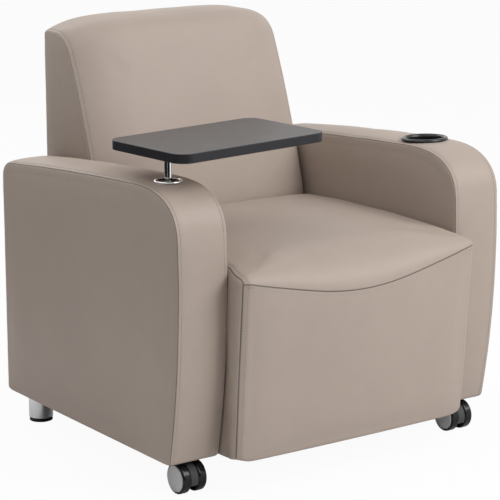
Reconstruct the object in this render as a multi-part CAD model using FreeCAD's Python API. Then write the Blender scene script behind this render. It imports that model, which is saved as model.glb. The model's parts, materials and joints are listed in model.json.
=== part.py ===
import FreeCAD
import Part
import math
import os

from FreeCAD import Vector

# Upholstered lounge chair with a swivelling writing tablet on one arm and a cup holder in the other.
# Millimetres, +Z up. The front faces -Y and the origin lies on the floor under the middle.
# Left and right are as seen from the front, so left is -X and carries the tablet.

# Overall size
overall_width = 775.0
overall_depth = 746.0
overall_height = 828.0

# Soft layers and clearances
cover_thickness = 2.0
cover_hem = 2.0
soft_gap = 0.3
fit_clearance = 0.1
running_clearance = 0.05
least_radius = 4.0
cut_margin = 5.0

# Arms
arm_width = 116.0
arm_setback = 67.0
arm_rear_setback = 40.0
arm_front_height = 591.0
arm_fall = 36.0
arm_nose_radius = 103.0
arm_rear_radius = 30.0
arm_toe_in = 32.0
arm_belly_in = 3.0
arm_top_rise = 5.0
arm_crown = 5.0
arm_top_foam = 12.0
arm_side_foam = 6.0
panel_thickness = 9.0
panel_rim = 45.0
band_thickness = 15.0

# Seat
seat_side_gap = 0.5
seat_depth = 511.0
seat_bow = 4.0
seat_corner_draw = 6.0
seat_toe_in = 26.0
seat_edge_height = 442.0
seat_crown = 12.0
seat_side_draw = 9.0
seat_front_drop = 6.0
seat_rear_drop = 10.0
seat_roll_middle = 70.0
seat_roll_end = 7.0
seat_roll_stretch = 1.6
seat_deck_height = 300.0
seat_front_pad = 48.0
seat_front_panel_inset = 27.0
seat_board_thickness = 18.0
seat_rail_thickness = 25.0
seat_rail_height = 110.0
corner_block_size = 40.0
corner_block_height = 70.0
strap_width = 50.0
strap_thickness = 1.5
strap_count = 5

# Back
back_side_gap = 15.0
back_arch = 24.0
back_top_flat = 46.0
back_draw = 20.0
back_lean = 23.0
back_top_radius = 54.0
back_rear_radius = 8.0
back_frame_thickness = 90.0
back_frame_inset = 8.0
back_frame_rim = 42.0
back_cross_rail = 60.0

# Bolts between the arms, the seat rails and the back frame
bolt_radius = 4.0
bolt_head_radius = 7.0
bolt_head_height = 5.0
bolt_grip_in_rail = 22.0
seat_bolt_inset = 90.0
seat_bolt_drop = 50.0
back_bolt_rise = 83.0
back_bolt_above_deck = 100.0
back_bolt_setback = 13.0

# Writing tablet, its post and its socket in the left arm
tablet_length = 364.0
tablet_width = 220.0
tablet_thickness = 18.0
tablet_corner_radius = 28.0
tablet_lift = 66.0
tablet_laminate = 1.0
tablet_edge_band = 1.5
tablet_edge_round = 1.2
tablet_reach = 135.0
tablet_shift = 14.0
tablet_yaw = 6.2
post_setback = 176.0
post_radius = 7.0
plate_length = 112.0
plate_width = 64.0
plate_overhang = 24.0
plate_thickness = 3.0
plate_corner_radius = 8.0
plate_screw_inset = 12.0
plate_screw_radius = 2.5
plate_screw_depth = 11.0
screw_head_radius = 4.5
screw_head_height = 2.4
socket_radius = 15.0
socket_wall = 2.0
socket_length = 150.0
socket_block_depth = 70.0
socket_block_floor = 12.0
bush_length = 25.0
bush_floor = 4.0
bush_recess = 6.0
escutcheon_radius = 25.0
escutcheon_opening = 14.0
escutcheon_height = 4.0
escutcheon_edge = 1.6
escutcheon_sink = 1.5

# Cup holder in the right arm
cup_setback = 227.0
cup_mouth_radius = 38.0
cup_floor_radius = 34.0
cup_wall = 2.0
cup_depth = 62.0
cup_floor = 2.5
cup_rim_radius = 47.0
cup_rim_height = 7.0
cup_rim_edge = 2.1
cup_rim_sink = 4.0

# Rear legs
leg_inset_from_rear = 78.0
leg_radius = 25.0
leg_wall = 1.5
leg_plate_length = 80.0
leg_plate_width = 48.0
leg_plate_thickness = 3.0
leg_plate_edge = 8.0
leg_screw_radius = 2.5
leg_screw_depth = 12.0
foot_height = 8.0
foot_step = 1.0
foot_spigot = 12.0

# Twin-wheel casters under the front of the arms
caster_headroom = 5.0
caster_setback = 146.0
caster_trail = 26.0
wheel_radius = 30.0
wheel_width = 18.0
wheel_gap = 17.0
wheel_rim = 6.0
wheel_web = 5.0
wheel_edge_radius = 4.0
wheel_hub_radius = 7.0
wheel_rib_count = 6
wheel_rib_thickness = 2.0
wheel_rib_height = 7.5
wheel_rib_overlap = 1.0
hub_cap_radius = 25.5
hub_cap_thickness = 2.0
axle_radius = 3.0
hood_radius = 28.0
hood_side_gap = 0.6
hood_opening_height = 18.0
hood_boss_radius = 11.0
hood_collar_clearance = 1.0
stem_radius = 5.5
stem_length = 36.0
stem_ring_height = 4.0
stem_ring_depth = 12.0
stem_ring_groove = 0.8
stem_seat = 14.0
socket_sleeve_wall = 1.2
socket_flange_radius = 12.0
socket_flange_thickness = 1.6
caster_block_depth = 40.0
caster_block_height = 30.0

# Underside cloth
dust_cover_thickness = 1.2
dust_cover_recess = 0.6

# Places that follow from the sizes
floor_clearance = 2 * wheel_radius + caster_headroom
front_y = -overall_depth / 2
rear_y = overall_depth / 2
arm_x = -(overall_width - arm_width) / 2
arm_outer_x = -overall_width / 2
arm_front_y = front_y + arm_setback
arm_rear_y = rear_y - arm_rear_setback
arm_rear_height = arm_front_height - arm_fall
base_z = floor_clearance + cover_hem
arm_skin = arm_crown + cover_thickness
arm_frame_inset = arm_skin + soft_gap + arm_top_foam + soft_gap
arm_rear_inset = arm_skin + soft_gap + arm_side_foam + soft_gap
arm_frame_side = cover_thickness + soft_gap + arm_side_foam + soft_gap
arm_inner_width = arm_width - 2 * (arm_frame_side + panel_thickness)
seat_half = overall_width / 2 - arm_width - seat_side_gap
back_half = overall_width / 2 - arm_width - back_side_gap
back_end_height = overall_height - back_arch
back_front_at_seat = front_y + seat_depth
back_crest_y = rear_y - back_rear_radius - back_top_flat - back_draw
skin_inset = cover_thickness + soft_gap
rail_outer = seat_half - skin_inset - soft_gap
front_panel_y = front_y + seat_front_pad
front_panel_rear = front_panel_y + seat_board_thickness
rear_rail_y = back_front_at_seat - soft_gap - skin_inset - soft_gap - seat_rail_thickness
strap_deck = seat_deck_height + strap_thickness
foam_deck = strap_deck + strap_thickness + soft_gap
back_frame_rear = rear_y - skin_inset - soft_gap
back_frame_front = back_frame_rear - back_frame_thickness
post_y = front_y + post_setback
cup_y = front_y + cup_setback
leg_y = rear_y - leg_inset_from_rear
stem_y = front_y + caster_setback
axle_y = stem_y - caster_trail
tablet_top_height = arm_front_height + tablet_lift
tablet_bottom = tablet_top_height - tablet_thickness

up = Vector(0, 0, 1)
across = Vector(1, 0, 0)


# Small helpers

def line(start, end):
    return Part.LineSegment(start, end).toShape()


def arc(start, middle, end):
    return Part.Arc(start, middle, end).toShape()


def box(x_span, y_span, z_span):
    low = Vector(x_span[0], y_span[0], z_span[0])
    size = [span[1] - span[0] for span in (x_span, y_span, z_span)]
    return Part.makeBox(size[0], size[1], size[2], low)


def rounded_plate(x_span, y_span, z_span, radius):
    plate = box(x_span, y_span, z_span)
    corners = [edge for edge in plate.Edges if abs(edge.tangentAt(edge.FirstParameter).z) > 0.9]
    return plate.makeFillet(radius, corners)


def rod(radius, start, length, direction=up):
    return Part.makeCylinder(radius, length, start, direction)


def ring(outer, inner, start, length, direction=up):
    return rod(outer, start, length, direction).cut(rod(inner, start, length, direction))


def turned(edges, centre):
    """Turn a closed profile, drawn in the XZ plane, about the vertical line through a point."""
    solid = Part.Face(Part.Wire(edges)).revolve(Vector(), up, 360)
    solid.translate(centre)
    return solid


def joined(first, *others):
    return first.multiFuse(list(others)).removeSplitter() if others else first


def mirrored(shape):
    return shape.mirror(Vector(), across)


def quarter_point(centre, radius, y_way, z_way):
    """The middle of a quarter circle that lies in a plane of constant x."""
    reach = radius * math.sqrt(0.5)
    return Vector(centre.x, centre.y + y_way * reach, centre.z + z_way * reach)


def elbow(centre, reach, rise):
    """A quarter of an ellipse in a plane of constant x, from its front point to its top point."""
    curve = Part.Ellipse(centre - Vector(0, reach, 0), centre + Vector(0, 0, rise), centre)
    return Part.ArcOfEllipse(curve, 0, math.pi / 2).toShape()


def even_steps(ends):
    """Mirror a run of steps from 0 to 1 so that it goes from -1 to 1."""
    return [-step for step in reversed(ends[1:])] + list(ends)


# Arm shapes

def arm_section(x, inset, foot, rear_inset=None):
    """Side outline of an arm: battered front, round nose, sloping top and upright rear."""
    front = arm_front_y + inset
    rear = arm_rear_y - (inset if rear_inset is None else rear_inset)
    nose = max(arm_nose_radius - inset, least_radius)
    corner = max(arm_rear_radius - inset, least_radius)
    top_front = arm_front_height - inset
    top_rear = arm_rear_height - inset
    toe = Vector(x, front + arm_toe_in, foot)
    brow = Vector(x, front, top_front - nose)
    belly = Vector(x, front + arm_belly_in, (toe.z + brow.z) / 2)
    crest = Vector(x, front + nose, top_front)
    shoulder = Vector(x, rear - corner, top_rear)
    ridge = Vector(x, (crest.y + shoulder.y) / 2, (crest.z + shoulder.z) / 2 + arm_top_rise)
    nape = Vector(x, rear, top_rear - corner)
    heel = Vector(x, rear, foot)
    nose_middle = quarter_point(Vector(x, crest.y, brow.z), nose, -1, 1)
    corner_middle = quarter_point(Vector(x, shoulder.y, nape.z), corner, 1, 1)
    return Part.Wire([
        arc(toe, belly, brow),
        arc(brow, nose_middle, crest),
        arc(crest, ridge, shoulder),
        arc(shoulder, corner_middle, nape),
        line(nape, heel),
        line(heel, toe),
    ])


def arm_prism(inset, side, foot, rear_inset=None, width=None):
    """Straight block with the arm's side outline, drawn in from the arm's faces."""
    start = arm_outer_x + side
    span = arm_width - 2 * side if width is None else width
    return Part.Face(arm_section(start, inset, foot, rear_inset)).extrude(Vector(span, 0, 0))


def arm_form():
    """Outside of the upholstered arm, with a crown across its boxing strip."""
    steps = even_steps((0.0, 0.6, 0.9, 1.0))
    sections = [arm_section(arm_x + step * arm_width / 2, arm_crown * step ** 4, floor_clearance)
                for step in steps]
    return Part.makeLoft(sections, True)


def arm_top(y):
    """Height of the arm's crest line at one place along its length."""
    start = arm_front_y + arm_nose_radius
    end = arm_rear_y - arm_rear_radius
    way = (y - start) / (end - start)
    straight = arm_front_height + (arm_rear_height - arm_front_height) * way
    return straight + 4 * arm_top_rise * way * (1 - way)


def arm_slope(y):
    start = arm_front_y + arm_nose_radius
    end = arm_rear_y - arm_rear_radius
    way = (y - start) / (end - start)
    return (arm_rear_height - arm_front_height + 4 * arm_top_rise * (1 - 2 * way)) / (end - start)


# Seat and back shapes

def back_front(x, half):
    """Front of the back at seat level, drawn in towards its sides."""
    return back_front_at_seat + back_draw * abs(x / half) ** 6


def seat_section(x, half, inset, foot):
    """Fore-and-aft outline of the seat: upright front, rolled nose, crowned top."""
    way = abs(x) / half
    front = front_y + seat_bow * way ** 2 + seat_corner_draw * way ** 14 + inset
    rear = back_front(x, half) - soft_gap - inset
    top = seat_edge_height + seat_crown * (1 - way ** 4) - seat_side_draw * way ** 14 - inset
    nose = seat_roll_middle + (seat_roll_end - seat_roll_middle) * way ** 2
    seam = top - seat_front_drop - nose
    toe = Vector(x, front + seat_toe_in, foot)
    lip = Vector(x, front, seam)
    reach = seat_roll_stretch * nose
    crest = Vector(x, front + reach, seam + nose)
    tail = Vector(x, rear, top - seat_rear_drop)
    crown = Vector(x, (crest.y + tail.y) / 2, top)
    heel = Vector(x, rear, foot)
    return Part.Wire([
        line(toe, lip),
        elbow(Vector(x, crest.y, lip.z), reach, nose),
        arc(crest, crown, tail),
        line(tail, heel),
        line(heel, toe),
    ])


def seat_form(inset, foot):
    half = seat_half - inset
    steps = even_steps((0.0, 0.4, 0.7, 0.86, 0.94, 0.98, 1.0))
    return Part.makeLoft([seat_section(step * half, half, inset, foot) for step in steps], True)


def back_section(x, half, inset, foot):
    """Fore-and-aft outline of the back: its leaning, crowned front runs smoothly into a round top."""
    way = abs(x) / half
    draw = back_draw * way ** 6
    rear = rear_y - inset
    top = overall_height - back_arch * way ** 8 - inset
    round_front = back_top_radius - inset
    round_rear = max(back_rear_radius - inset, least_radius)
    lean = math.radians(back_lean)
    half_way = math.pi / 4 + lean / 2
    crest_front = Vector(x, back_crest_y + draw, top)
    hub = crest_front - Vector(0, 0, round_front)
    high = hub + Vector(0, -math.cos(lean), math.sin(lean)) * round_front
    front_middle = hub + Vector(0, -math.cos(half_way), math.sin(half_way)) * round_front
    low = Vector(x, back_front_at_seat + draw + inset, seat_edge_height)
    rise = high - low
    bulge = math.tan((lean - math.atan2(rise.y, rise.z)) / 2) / 2
    lumbar = (low + high) / 2 + Vector(0, -rise.z, rise.y) * bulge
    crest_rear = Vector(x, rear - round_rear, top)
    nape = Vector(x, rear, top - round_rear)
    toe = Vector(x, low.y, foot)
    heel = Vector(x, rear, foot)
    rear_middle = quarter_point(Vector(x, crest_rear.y, nape.z), round_rear, 1, 1)
    return Part.Wire([
        line(toe, low),
        arc(low, lumbar, high),
        arc(high, front_middle, crest_front),
        line(crest_front, crest_rear),
        arc(crest_rear, rear_middle, nape),
        line(nape, heel),
        line(heel, toe),
    ])


def back_form(inset, foot):
    half = back_half - inset
    steps = even_steps((0.0, 0.2, 0.4, 0.6, 0.75, 0.86, 0.93, 0.97, 1.0))
    return Part.makeLoft([back_section(step * half, half, inset, foot) for step in steps], True)


# Cutting tools that several pieces share

def side_bolt(place_y, place_z, end_x, radius):
    """A rod along X from inside the left arm's frame to a place inside the seat or the back."""
    start = arm_outer_x + arm_width - arm_frame_side - panel_thickness
    return rod(radius, Vector(start, place_y, place_z), end_x - start, across)


def bolt_places():
    """Each bolt of the left side, in the seat and in the back: y, z and where its end lies along x."""
    rail_end = -rail_outer + bolt_grip_in_rail
    rail_z = seat_deck_height - seat_bolt_drop
    frame_end = -(back_half - back_frame_inset) + bolt_grip_in_rail
    frame_y = back_frame_front + back_bolt_setback
    seat_places = [(front_panel_rear + seat_bolt_inset, rail_z, rail_end),
                   (rear_rail_y - seat_bolt_inset, rail_z, rail_end)]
    back_places = [(frame_y, base_z + back_bolt_rise, frame_end),
                   (frame_y, seat_deck_height + back_bolt_above_deck, frame_end)]
    return seat_places, back_places


def bolt_holes(clearance):
    seat_places, back_places = bolt_places()
    holes = [side_bolt(y, z, end, bolt_radius + clearance) for y, z, end in seat_places + back_places]
    return Part.makeCompound(holes + [mirrored(hole) for hole in holes])


def side_bolts(places):
    """Hexagon bolts on both sides, each with its head inside the arm."""
    bolts = []
    for y, z, end in places:
        start = arm_outer_x + arm_width - arm_frame_side - panel_thickness
        head = Part.Face(Part.Wire(Part.makePolygon([
            Vector(start, y + bolt_head_radius * math.cos(turn), z + bolt_head_radius * math.sin(turn))
            for turn in [math.pi / 3 * step for step in range(7)]]).Edges))
        bolt = joined(head.extrude(Vector(-bolt_head_height, 0, 0)), side_bolt(y, z, end, bolt_radius))
        bolts += [bolt, mirrored(bolt)]
    return Part.makeCompound(bolts)


def cup_profile(grow):
    """Half section of the cup holder's outside, wider all round by a clearance."""
    floor = -cup_depth - grow
    return [
        line(Vector(0, 0, floor), Vector(cup_floor_radius + cup_wall + grow, 0, floor)),
        line(Vector(cup_floor_radius + cup_wall + grow, 0, floor),
             Vector(cup_mouth_radius + cup_wall + grow, 0, -grow)),
    ]


def tilt_to_arm(shape):
    """Lean a piece drawn about the Z axis to the slope of the right arm's top and set it there."""
    lean = math.degrees(math.atan(arm_slope(cup_y)))
    shape.rotate(Vector(), across, lean)
    shape.translate(Vector(-arm_x, cup_y, arm_top(cup_y) - cup_rim_sink))
    return shape


def cup_hole():
    grow = soft_gap
    edges = cup_profile(grow)
    mouth = edges[-1].Vertexes[-1].Point
    outer = cup_rim_radius + grow
    corners = [mouth, Vector(outer, 0, -grow), Vector(outer, 0, cup_depth), Vector(0, 0, cup_depth),
               edges[0].Vertexes[0].Point]
    edges += [line(start, end) for start, end in zip(corners, corners[1:])]
    return tilt_to_arm(turned(edges, Vector()))


def socket_hole(clearance):
    bottom = socket_top() - socket_length
    return rod(socket_radius + clearance, Vector(arm_x, post_y, bottom), overall_height)


def socket_top():
    return arm_top(post_y) - escutcheon_sink


def caster_hole(clearance):
    radius = stem_radius + running_clearance + socket_sleeve_wall + clearance
    return rod(radius, Vector(arm_x, stem_y, 0), base_z + stem_length)


def leg_screw_points():
    x_half = leg_plate_length / 2 - leg_plate_edge
    y_half = leg_plate_width / 2 - leg_plate_edge
    return [Vector(arm_x + x_way * x_half, leg_y + y_way * y_half, 0)
            for x_way in (-1, 1) for y_way in (-1, 1)]


def leg_plate(grow, low):
    """Block of the leg plate's outline, from one height up to the arm's frame."""
    x_half = leg_plate_length / 2 + grow
    y_half = leg_plate_width / 2 + grow
    return box((arm_x - x_half, arm_x + x_half), (leg_y - y_half, leg_y + y_half), (low, base_z))


def leg_screw_holes(radius):
    return Part.makeCompound([rod(radius, Vector(point.x, point.y, base_z - leg_plate_thickness),
                                  leg_screw_depth + leg_plate_thickness) for point in leg_screw_points()])


# Arms: two plywood sides, a bent plywood band between them, foam and a sewn cover

def build_arms():
    inner_side = arm_frame_side + panel_thickness
    outline = arm_prism(arm_frame_inset, arm_frame_side, base_z, arm_rear_inset, panel_thickness)
    window = arm_prism(arm_frame_inset + panel_rim, arm_frame_side, base_z + panel_rim,
                       arm_rear_inset + panel_rim, panel_thickness)
    outer_panel = outline.cut(window)
    inner_panel = outline.copy()
    inner_panel.translate(Vector(arm_inner_width + panel_thickness, 0, 0))
    band = arm_prism(arm_frame_inset, inner_side, base_z, arm_rear_inset)
    band = band.cut(arm_prism(arm_frame_inset + band_thickness, inner_side, base_z + band_thickness,
                              arm_rear_inset + band_thickness))
    foam = arm_prism(arm_skin + soft_gap, skin_inset, base_z)
    foam = foam.cut(arm_prism(arm_frame_inset - soft_gap, arm_frame_side - soft_gap,
                              floor_clearance - cut_margin, arm_rear_inset - soft_gap))
    cover = arm_form().cut(arm_prism(arm_skin, cover_thickness, floor_clearance - cut_margin))

    side_holes = bolt_holes(fit_clearance)
    soft_holes = bolt_holes(soft_gap)
    inner_panel = inner_panel.cut(side_holes)
    foam = foam.cut(soft_holes)
    cover = cover.cut(soft_holes)
    band = band.cut(caster_hole(fit_clearance)).cut(leg_screw_holes(leg_screw_radius + fit_clearance))

    cup = mirrored(cup_hole())
    escutcheon_seat = rod(escutcheon_radius + soft_gap, Vector(arm_x, post_y, socket_top()), overall_height)
    left = {
        "outer_panel": outer_panel,
        "inner_panel": inner_panel,
        "band": band.cut(socket_hole(fit_clearance)),
        "foam": foam.cut(socket_hole(soft_gap)),
        "cover": cover.cut(socket_hole(soft_gap)).cut(escutcheon_seat),
    }
    right = {
        "outer_panel": outer_panel.cut(cup),
        "inner_panel": inner_panel.cut(cup),
        "band": band.cut(cup),
        "foam": foam.cut(cup),
        "cover": cover.cut(cup),
    }
    parts = {"left_arm_" + name: shape for name, shape in left.items()}
    parts.update({"right_arm_" + name: mirrored(shape) for name, shape in right.items()})
    return parts


def build_caster_blocks():
    half = caster_block_depth / 2
    low = base_z + band_thickness
    block = box((arm_x - arm_inner_width / 2, arm_x + arm_inner_width / 2), (stem_y - half, stem_y + half),
                (low, low + caster_block_height))
    room = arm_prism(arm_frame_inset + band_thickness, arm_frame_side + panel_thickness, low, arm_rear_inset)
    block = block.common(room).cut(caster_hole(fit_clearance))
    return {"caster_blocks": Part.makeCompound([block, mirrored(block)])}


# Seat: a box of boards and rails, webbing, foam and a sewn cover

def build_seat():
    board_half = seat_half - seat_front_panel_inset
    front_panel = box((-board_half, board_half), (front_panel_y, front_panel_rear),
                      (base_z, seat_deck_height))
    rail_low = seat_deck_height - seat_rail_height
    rear_rail = box((-rail_outer, rail_outer), (rear_rail_y, rear_rail_y + seat_rail_thickness),
                    (rail_low, seat_deck_height))
    rail_inner = rail_outer - seat_rail_thickness
    side_rail = box((-rail_outer, -rail_inner), (front_panel_rear, rear_rail_y), (rail_low, strap_deck))
    side_rail = side_rail.cut(bolt_holes(fit_clearance))

    blocks = []
    for start in (front_panel_rear, rear_rail_y - corner_block_size):
        block = box((-rail_inner, -rail_inner + corner_block_size), (start, start + corner_block_size),
                    (seat_deck_height - corner_block_height, seat_deck_height))
        blocks += [block, mirrored(block)]

    cover = seat_form(0, floor_clearance).cut(seat_form(cover_thickness, floor_clearance - cut_margin))
    cover = cover.cut(bolt_holes(soft_gap))
    filling = seat_form(skin_inset, base_z)
    reach = overall_width
    foam = filling.common(box((-reach, reach), (-reach, reach), (foam_deck, overall_height)))
    front_foam = filling.common(box((-reach, reach), (-reach, front_panel_y - soft_gap),
                                    (base_z, foam_deck - soft_gap)))
    return {
        "seat_front_panel": front_panel,
        "seat_rear_rail": rear_rail,
        "seat_left_rail": side_rail,
        "seat_right_rail": mirrored(side_rail),
        "seat_corner_blocks": Part.makeCompound(blocks),
        "seat_webbing": seat_webbing(),
        "seat_foam": foam,
        "seat_front_foam": front_foam,
        "seat_cover": cover,
    }


def seat_webbing():
    """Straps from front to rear, with straps from side to side lying on them."""
    straps = []
    half = strap_width / 2
    run_x = 2 * (rail_outer - seat_rail_thickness) / strap_count
    run_y = (rear_rail_y - front_panel_rear) / strap_count
    for step in range(strap_count):
        x = -(rail_outer - seat_rail_thickness) + run_x * (step + 0.5)
        y = front_panel_rear + run_y * (step + 0.5)
        straps.append(box((x - half, x + half), (front_panel_y, rear_rail_y + seat_rail_thickness),
                          (seat_deck_height, strap_deck)))
        straps.append(box((-rail_outer, rail_outer), (y - half, y + half),
                          (strap_deck, strap_deck + strap_thickness)))
    return Part.makeCompound(straps)


# Back: a plywood frame with straps, foam and a sewn cover

def build_back():
    reach = overall_width
    slab = box((-reach, reach), (back_frame_front, back_frame_rear), (base_z, overall_height))
    frame = back_form(back_frame_inset, base_z).common(slab)
    window_half = back_half - back_frame_inset - back_frame_rim
    low = base_z + back_frame_rim
    high = back_end_height - back_frame_inset - back_frame_rim
    for z_span in ((low, seat_deck_height), (seat_deck_height + back_cross_rail, high)):
        frame = frame.cut(rounded_plate_upright(window_half, z_span))
    frame = frame.cut(bolt_holes(fit_clearance))

    strap_front = back_frame_front - strap_thickness
    first = seat_deck_height + back_cross_rail
    straps = []
    for step in range(strap_count):
        z = first + (high - first) * (step + 0.5) / strap_count
        strap_half = window_half + back_frame_rim / 2
        straps.append(box((-strap_half, strap_half), (strap_front, back_frame_front),
                          (z - strap_width / 2, z + strap_width / 2)))

    foam = back_form(skin_inset, base_z)
    foam = foam.common(box((-reach, reach), (-reach, strap_front - soft_gap),
                           (seat_deck_height, overall_height)))
    cover = back_form(0, floor_clearance).cut(back_form(cover_thickness, floor_clearance - cut_margin))
    return {
        "back_frame": frame,
        "back_webbing": Part.makeCompound(straps),
        "back_foam": foam,
        "back_cover": cover.cut(bolt_holes(soft_gap)),
    }


def rounded_plate_upright(half, z_span):
    """A window through the back frame with round corners."""
    window = box((-half, half), (back_frame_front, back_frame_rear), z_span)
    corners = [edge for edge in window.Edges if abs(edge.tangentAt(edge.FirstParameter).y) > 0.9]
    return window.makeFillet(back_frame_rim / 2, corners)


def build_bolts():
    seat_places, back_places = bolt_places()
    return {"seat_bolts": side_bolts(seat_places), "back_bolts": side_bolts(back_places)}


# Cloth closing the underside of the arms, the seat and the back

def build_dust_cover():
    low = floor_clearance + dust_cover_recess
    reach = overall_width
    layer = box((-reach, reach), (-reach, reach), (low, low + dust_cover_thickness))
    arm = arm_prism(arm_skin + soft_gap, skin_inset, floor_clearance).common(layer)
    flange_room = rod(socket_flange_radius + soft_gap, Vector(arm_x, stem_y, 0), base_z)
    arm = arm.cut(leg_plate(soft_gap, 0)).cut(flange_room)
    seat = seat_form(skin_inset, floor_clearance).common(layer)
    back = back_form(skin_inset, floor_clearance).common(layer)
    return {"dust_cover": Part.makeCompound([arm, mirrored(arm), seat, back])}


# Tablet on its swivelling post, drawn about the post and then turned to its place

def set_on_post(shape):
    shape.rotate(Vector(), up, tablet_yaw)
    shape.translate(Vector(arm_x, post_y, 0))
    return shape


def tablet_outline(inset, z_span):
    half_length = tablet_length / 2 - inset
    half_width = tablet_width / 2 - inset
    return rounded_plate((tablet_reach - half_length, tablet_reach + half_length),
                         (tablet_shift - half_width, tablet_shift + half_width),
                         z_span, tablet_corner_radius - inset)


def plate_screw_points():
    x_places = (plate_screw_inset - plate_overhang, plate_length - plate_overhang - plate_screw_inset)
    y_place = plate_width / 2 - plate_screw_inset
    return [Vector(x, y, 0) for x in x_places for y in (-y_place, y_place)]


def plate_screw(point, grow):
    """A pan screw: head under the plate, shank up into the board."""
    plate_low = tablet_bottom - plate_thickness
    head = rod(screw_head_radius + grow, Vector(point.x, point.y, plate_low - screw_head_height),
               screw_head_height)
    shank = rod(plate_screw_radius + grow, Vector(point.x, point.y, plate_low),
                plate_thickness + plate_screw_depth)
    return joined(head, shank)


def build_tablet():
    laminate_low = tablet_top_height - tablet_laminate
    holes = Part.makeCompound([plate_screw(point, fit_clearance) for point in plate_screw_points()])
    band = tablet_outline(0, (tablet_bottom, tablet_top_height))
    rims = [edge for edge in band.Edges if abs(edge.tangentAt(edge.FirstParameter).z) < 0.1]
    band = band.makeFillet(tablet_edge_round, rims)
    band = band.cut(tablet_outline(tablet_edge_band, (tablet_bottom, tablet_top_height)))
    board = tablet_outline(tablet_edge_band, (tablet_bottom, laminate_low)).cut(holes)
    laminate = tablet_outline(tablet_edge_band, (laminate_low, tablet_top_height))
    plate_low = tablet_bottom - plate_thickness
    plate = rounded_plate((-plate_overhang, plate_length - plate_overhang),
                          (-plate_width / 2, plate_width / 2), (plate_low, tablet_bottom),
                          plate_corner_radius)
    plate = plate.cut(holes)
    post_low = socket_top() - socket_length + bush_floor
    post = rod(post_radius, Vector(0, 0, post_low), plate_low - post_low)
    screws = Part.makeCompound([plate_screw(point, 0) for point in plate_screw_points()])
    pieces = {
        "tablet_board": board,
        "tablet_laminate": laminate,
        "tablet_edge_band": band,
        "tablet_plate": plate,
        "tablet_post": post,
        "tablet_screws": screws,
    }
    return {name: set_on_post(shape) for name, shape in pieces.items()}


# Socket of the tablet's post, sunk in the left arm

def build_socket():
    top = socket_top()
    bottom = top - socket_length
    place = Vector(arm_x, post_y, bottom)
    bore = socket_radius - socket_wall
    tube = ring(socket_radius, bore, place, socket_length)
    low = bottom - socket_block_floor
    half = socket_block_depth / 2
    block = box((arm_x - arm_inner_width / 2, arm_x + arm_inner_width / 2), (post_y - half, post_y + half),
                (low, arm_front_height))
    room = arm_prism(arm_frame_inset + band_thickness, arm_frame_side + panel_thickness, floor_clearance,
                     arm_rear_inset + band_thickness)
    block = block.common(room).cut(socket_hole(fit_clearance))
    bush_outer = bore - fit_clearance
    bush_inner = post_radius + running_clearance
    lower_bush = rod(bush_outer, place, bush_length)
    lower_bush = lower_bush.cut(rod(bush_inner, place + Vector(0, 0, bush_floor), bush_length))
    upper_bush = ring(bush_outer, bush_inner,
                      Vector(arm_x, post_y, top - bush_recess - bush_length), bush_length)
    middle = (escutcheon_radius + escutcheon_opening) / 2
    points = [Vector(escutcheon_opening, 0, 0), Vector(escutcheon_radius, 0, 0),
              Vector(escutcheon_radius, 0, escutcheon_edge), Vector(escutcheon_opening, 0, escutcheon_edge)]
    escutcheon = turned([
        line(points[0], points[1]),
        line(points[1], points[2]),
        arc(points[2], Vector(middle, 0, escutcheon_height), points[3]),
        line(points[3], points[0]),
    ], Vector(arm_x, post_y, top))
    return {
        "socket_block": block,
        "socket_tube": tube,
        "socket_bushes": Part.makeCompound([lower_bush, upper_bush]),
        "socket_escutcheon": escutcheon,
    }


# Drop-in cup holder with a rolled rim

def build_cup_holder():
    edges = cup_profile(0)
    shelf = edges[-1].Vertexes[-1].Point
    inner_floor = -cup_depth + cup_floor
    outside = Vector(cup_rim_radius, 0, 0)
    outside_lip = Vector(cup_rim_radius, 0, cup_rim_edge)
    inside_lip = Vector(cup_mouth_radius, 0, cup_rim_edge)
    roll = Vector((cup_rim_radius + cup_mouth_radius) / 2, 0, cup_rim_height)
    floor_edge = Vector(cup_floor_radius, 0, inner_floor)
    floor_middle = Vector(0, 0, inner_floor)
    edges += [
        line(shelf, outside),
        line(outside, outside_lip),
        arc(outside_lip, roll, inside_lip),
        line(inside_lip, floor_edge),
        line(floor_edge, floor_middle),
        line(floor_middle, Vector(0, 0, -cup_depth)),
    ]
    return {"cup_holder": tilt_to_arm(turned(edges, Vector()))}


# Rear legs: a chromed tube with a welded plate, and a plastic foot

def build_legs():
    plate_low = base_z - leg_plate_thickness
    plate = leg_plate(0, plate_low)
    tube = ring(leg_radius, leg_radius - leg_wall, Vector(arm_x, leg_y, foot_height), plate_low - foot_height)
    leg = joined(plate, tube).cut(leg_screw_holes(leg_screw_radius + fit_clearance))
    foot = joined(rod(leg_radius - foot_step, Vector(arm_x, leg_y, 0), foot_height),
                  rod(leg_radius - leg_wall - fit_clearance, Vector(arm_x, leg_y, foot_height), foot_spigot))
    screws = []
    for point in leg_screw_points():
        head = rod(screw_head_radius, Vector(point.x, point.y, plate_low - screw_head_height),
                   screw_head_height)
        shank = rod(leg_screw_radius, Vector(point.x, point.y, plate_low),
                    leg_plate_thickness + leg_screw_depth)
        screws += [joined(head, shank)]
    screws += [mirrored(screw) for screw in screws]
    return {
        "left_leg": leg,
        "right_leg": mirrored(leg),
        "left_leg_foot": foot,
        "right_leg_foot": mirrored(foot),
        "leg_screws": Part.makeCompound(screws),
    }


# Casters: a hood on a swivelling stem, an axle, and two wheels with hub caps

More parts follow.
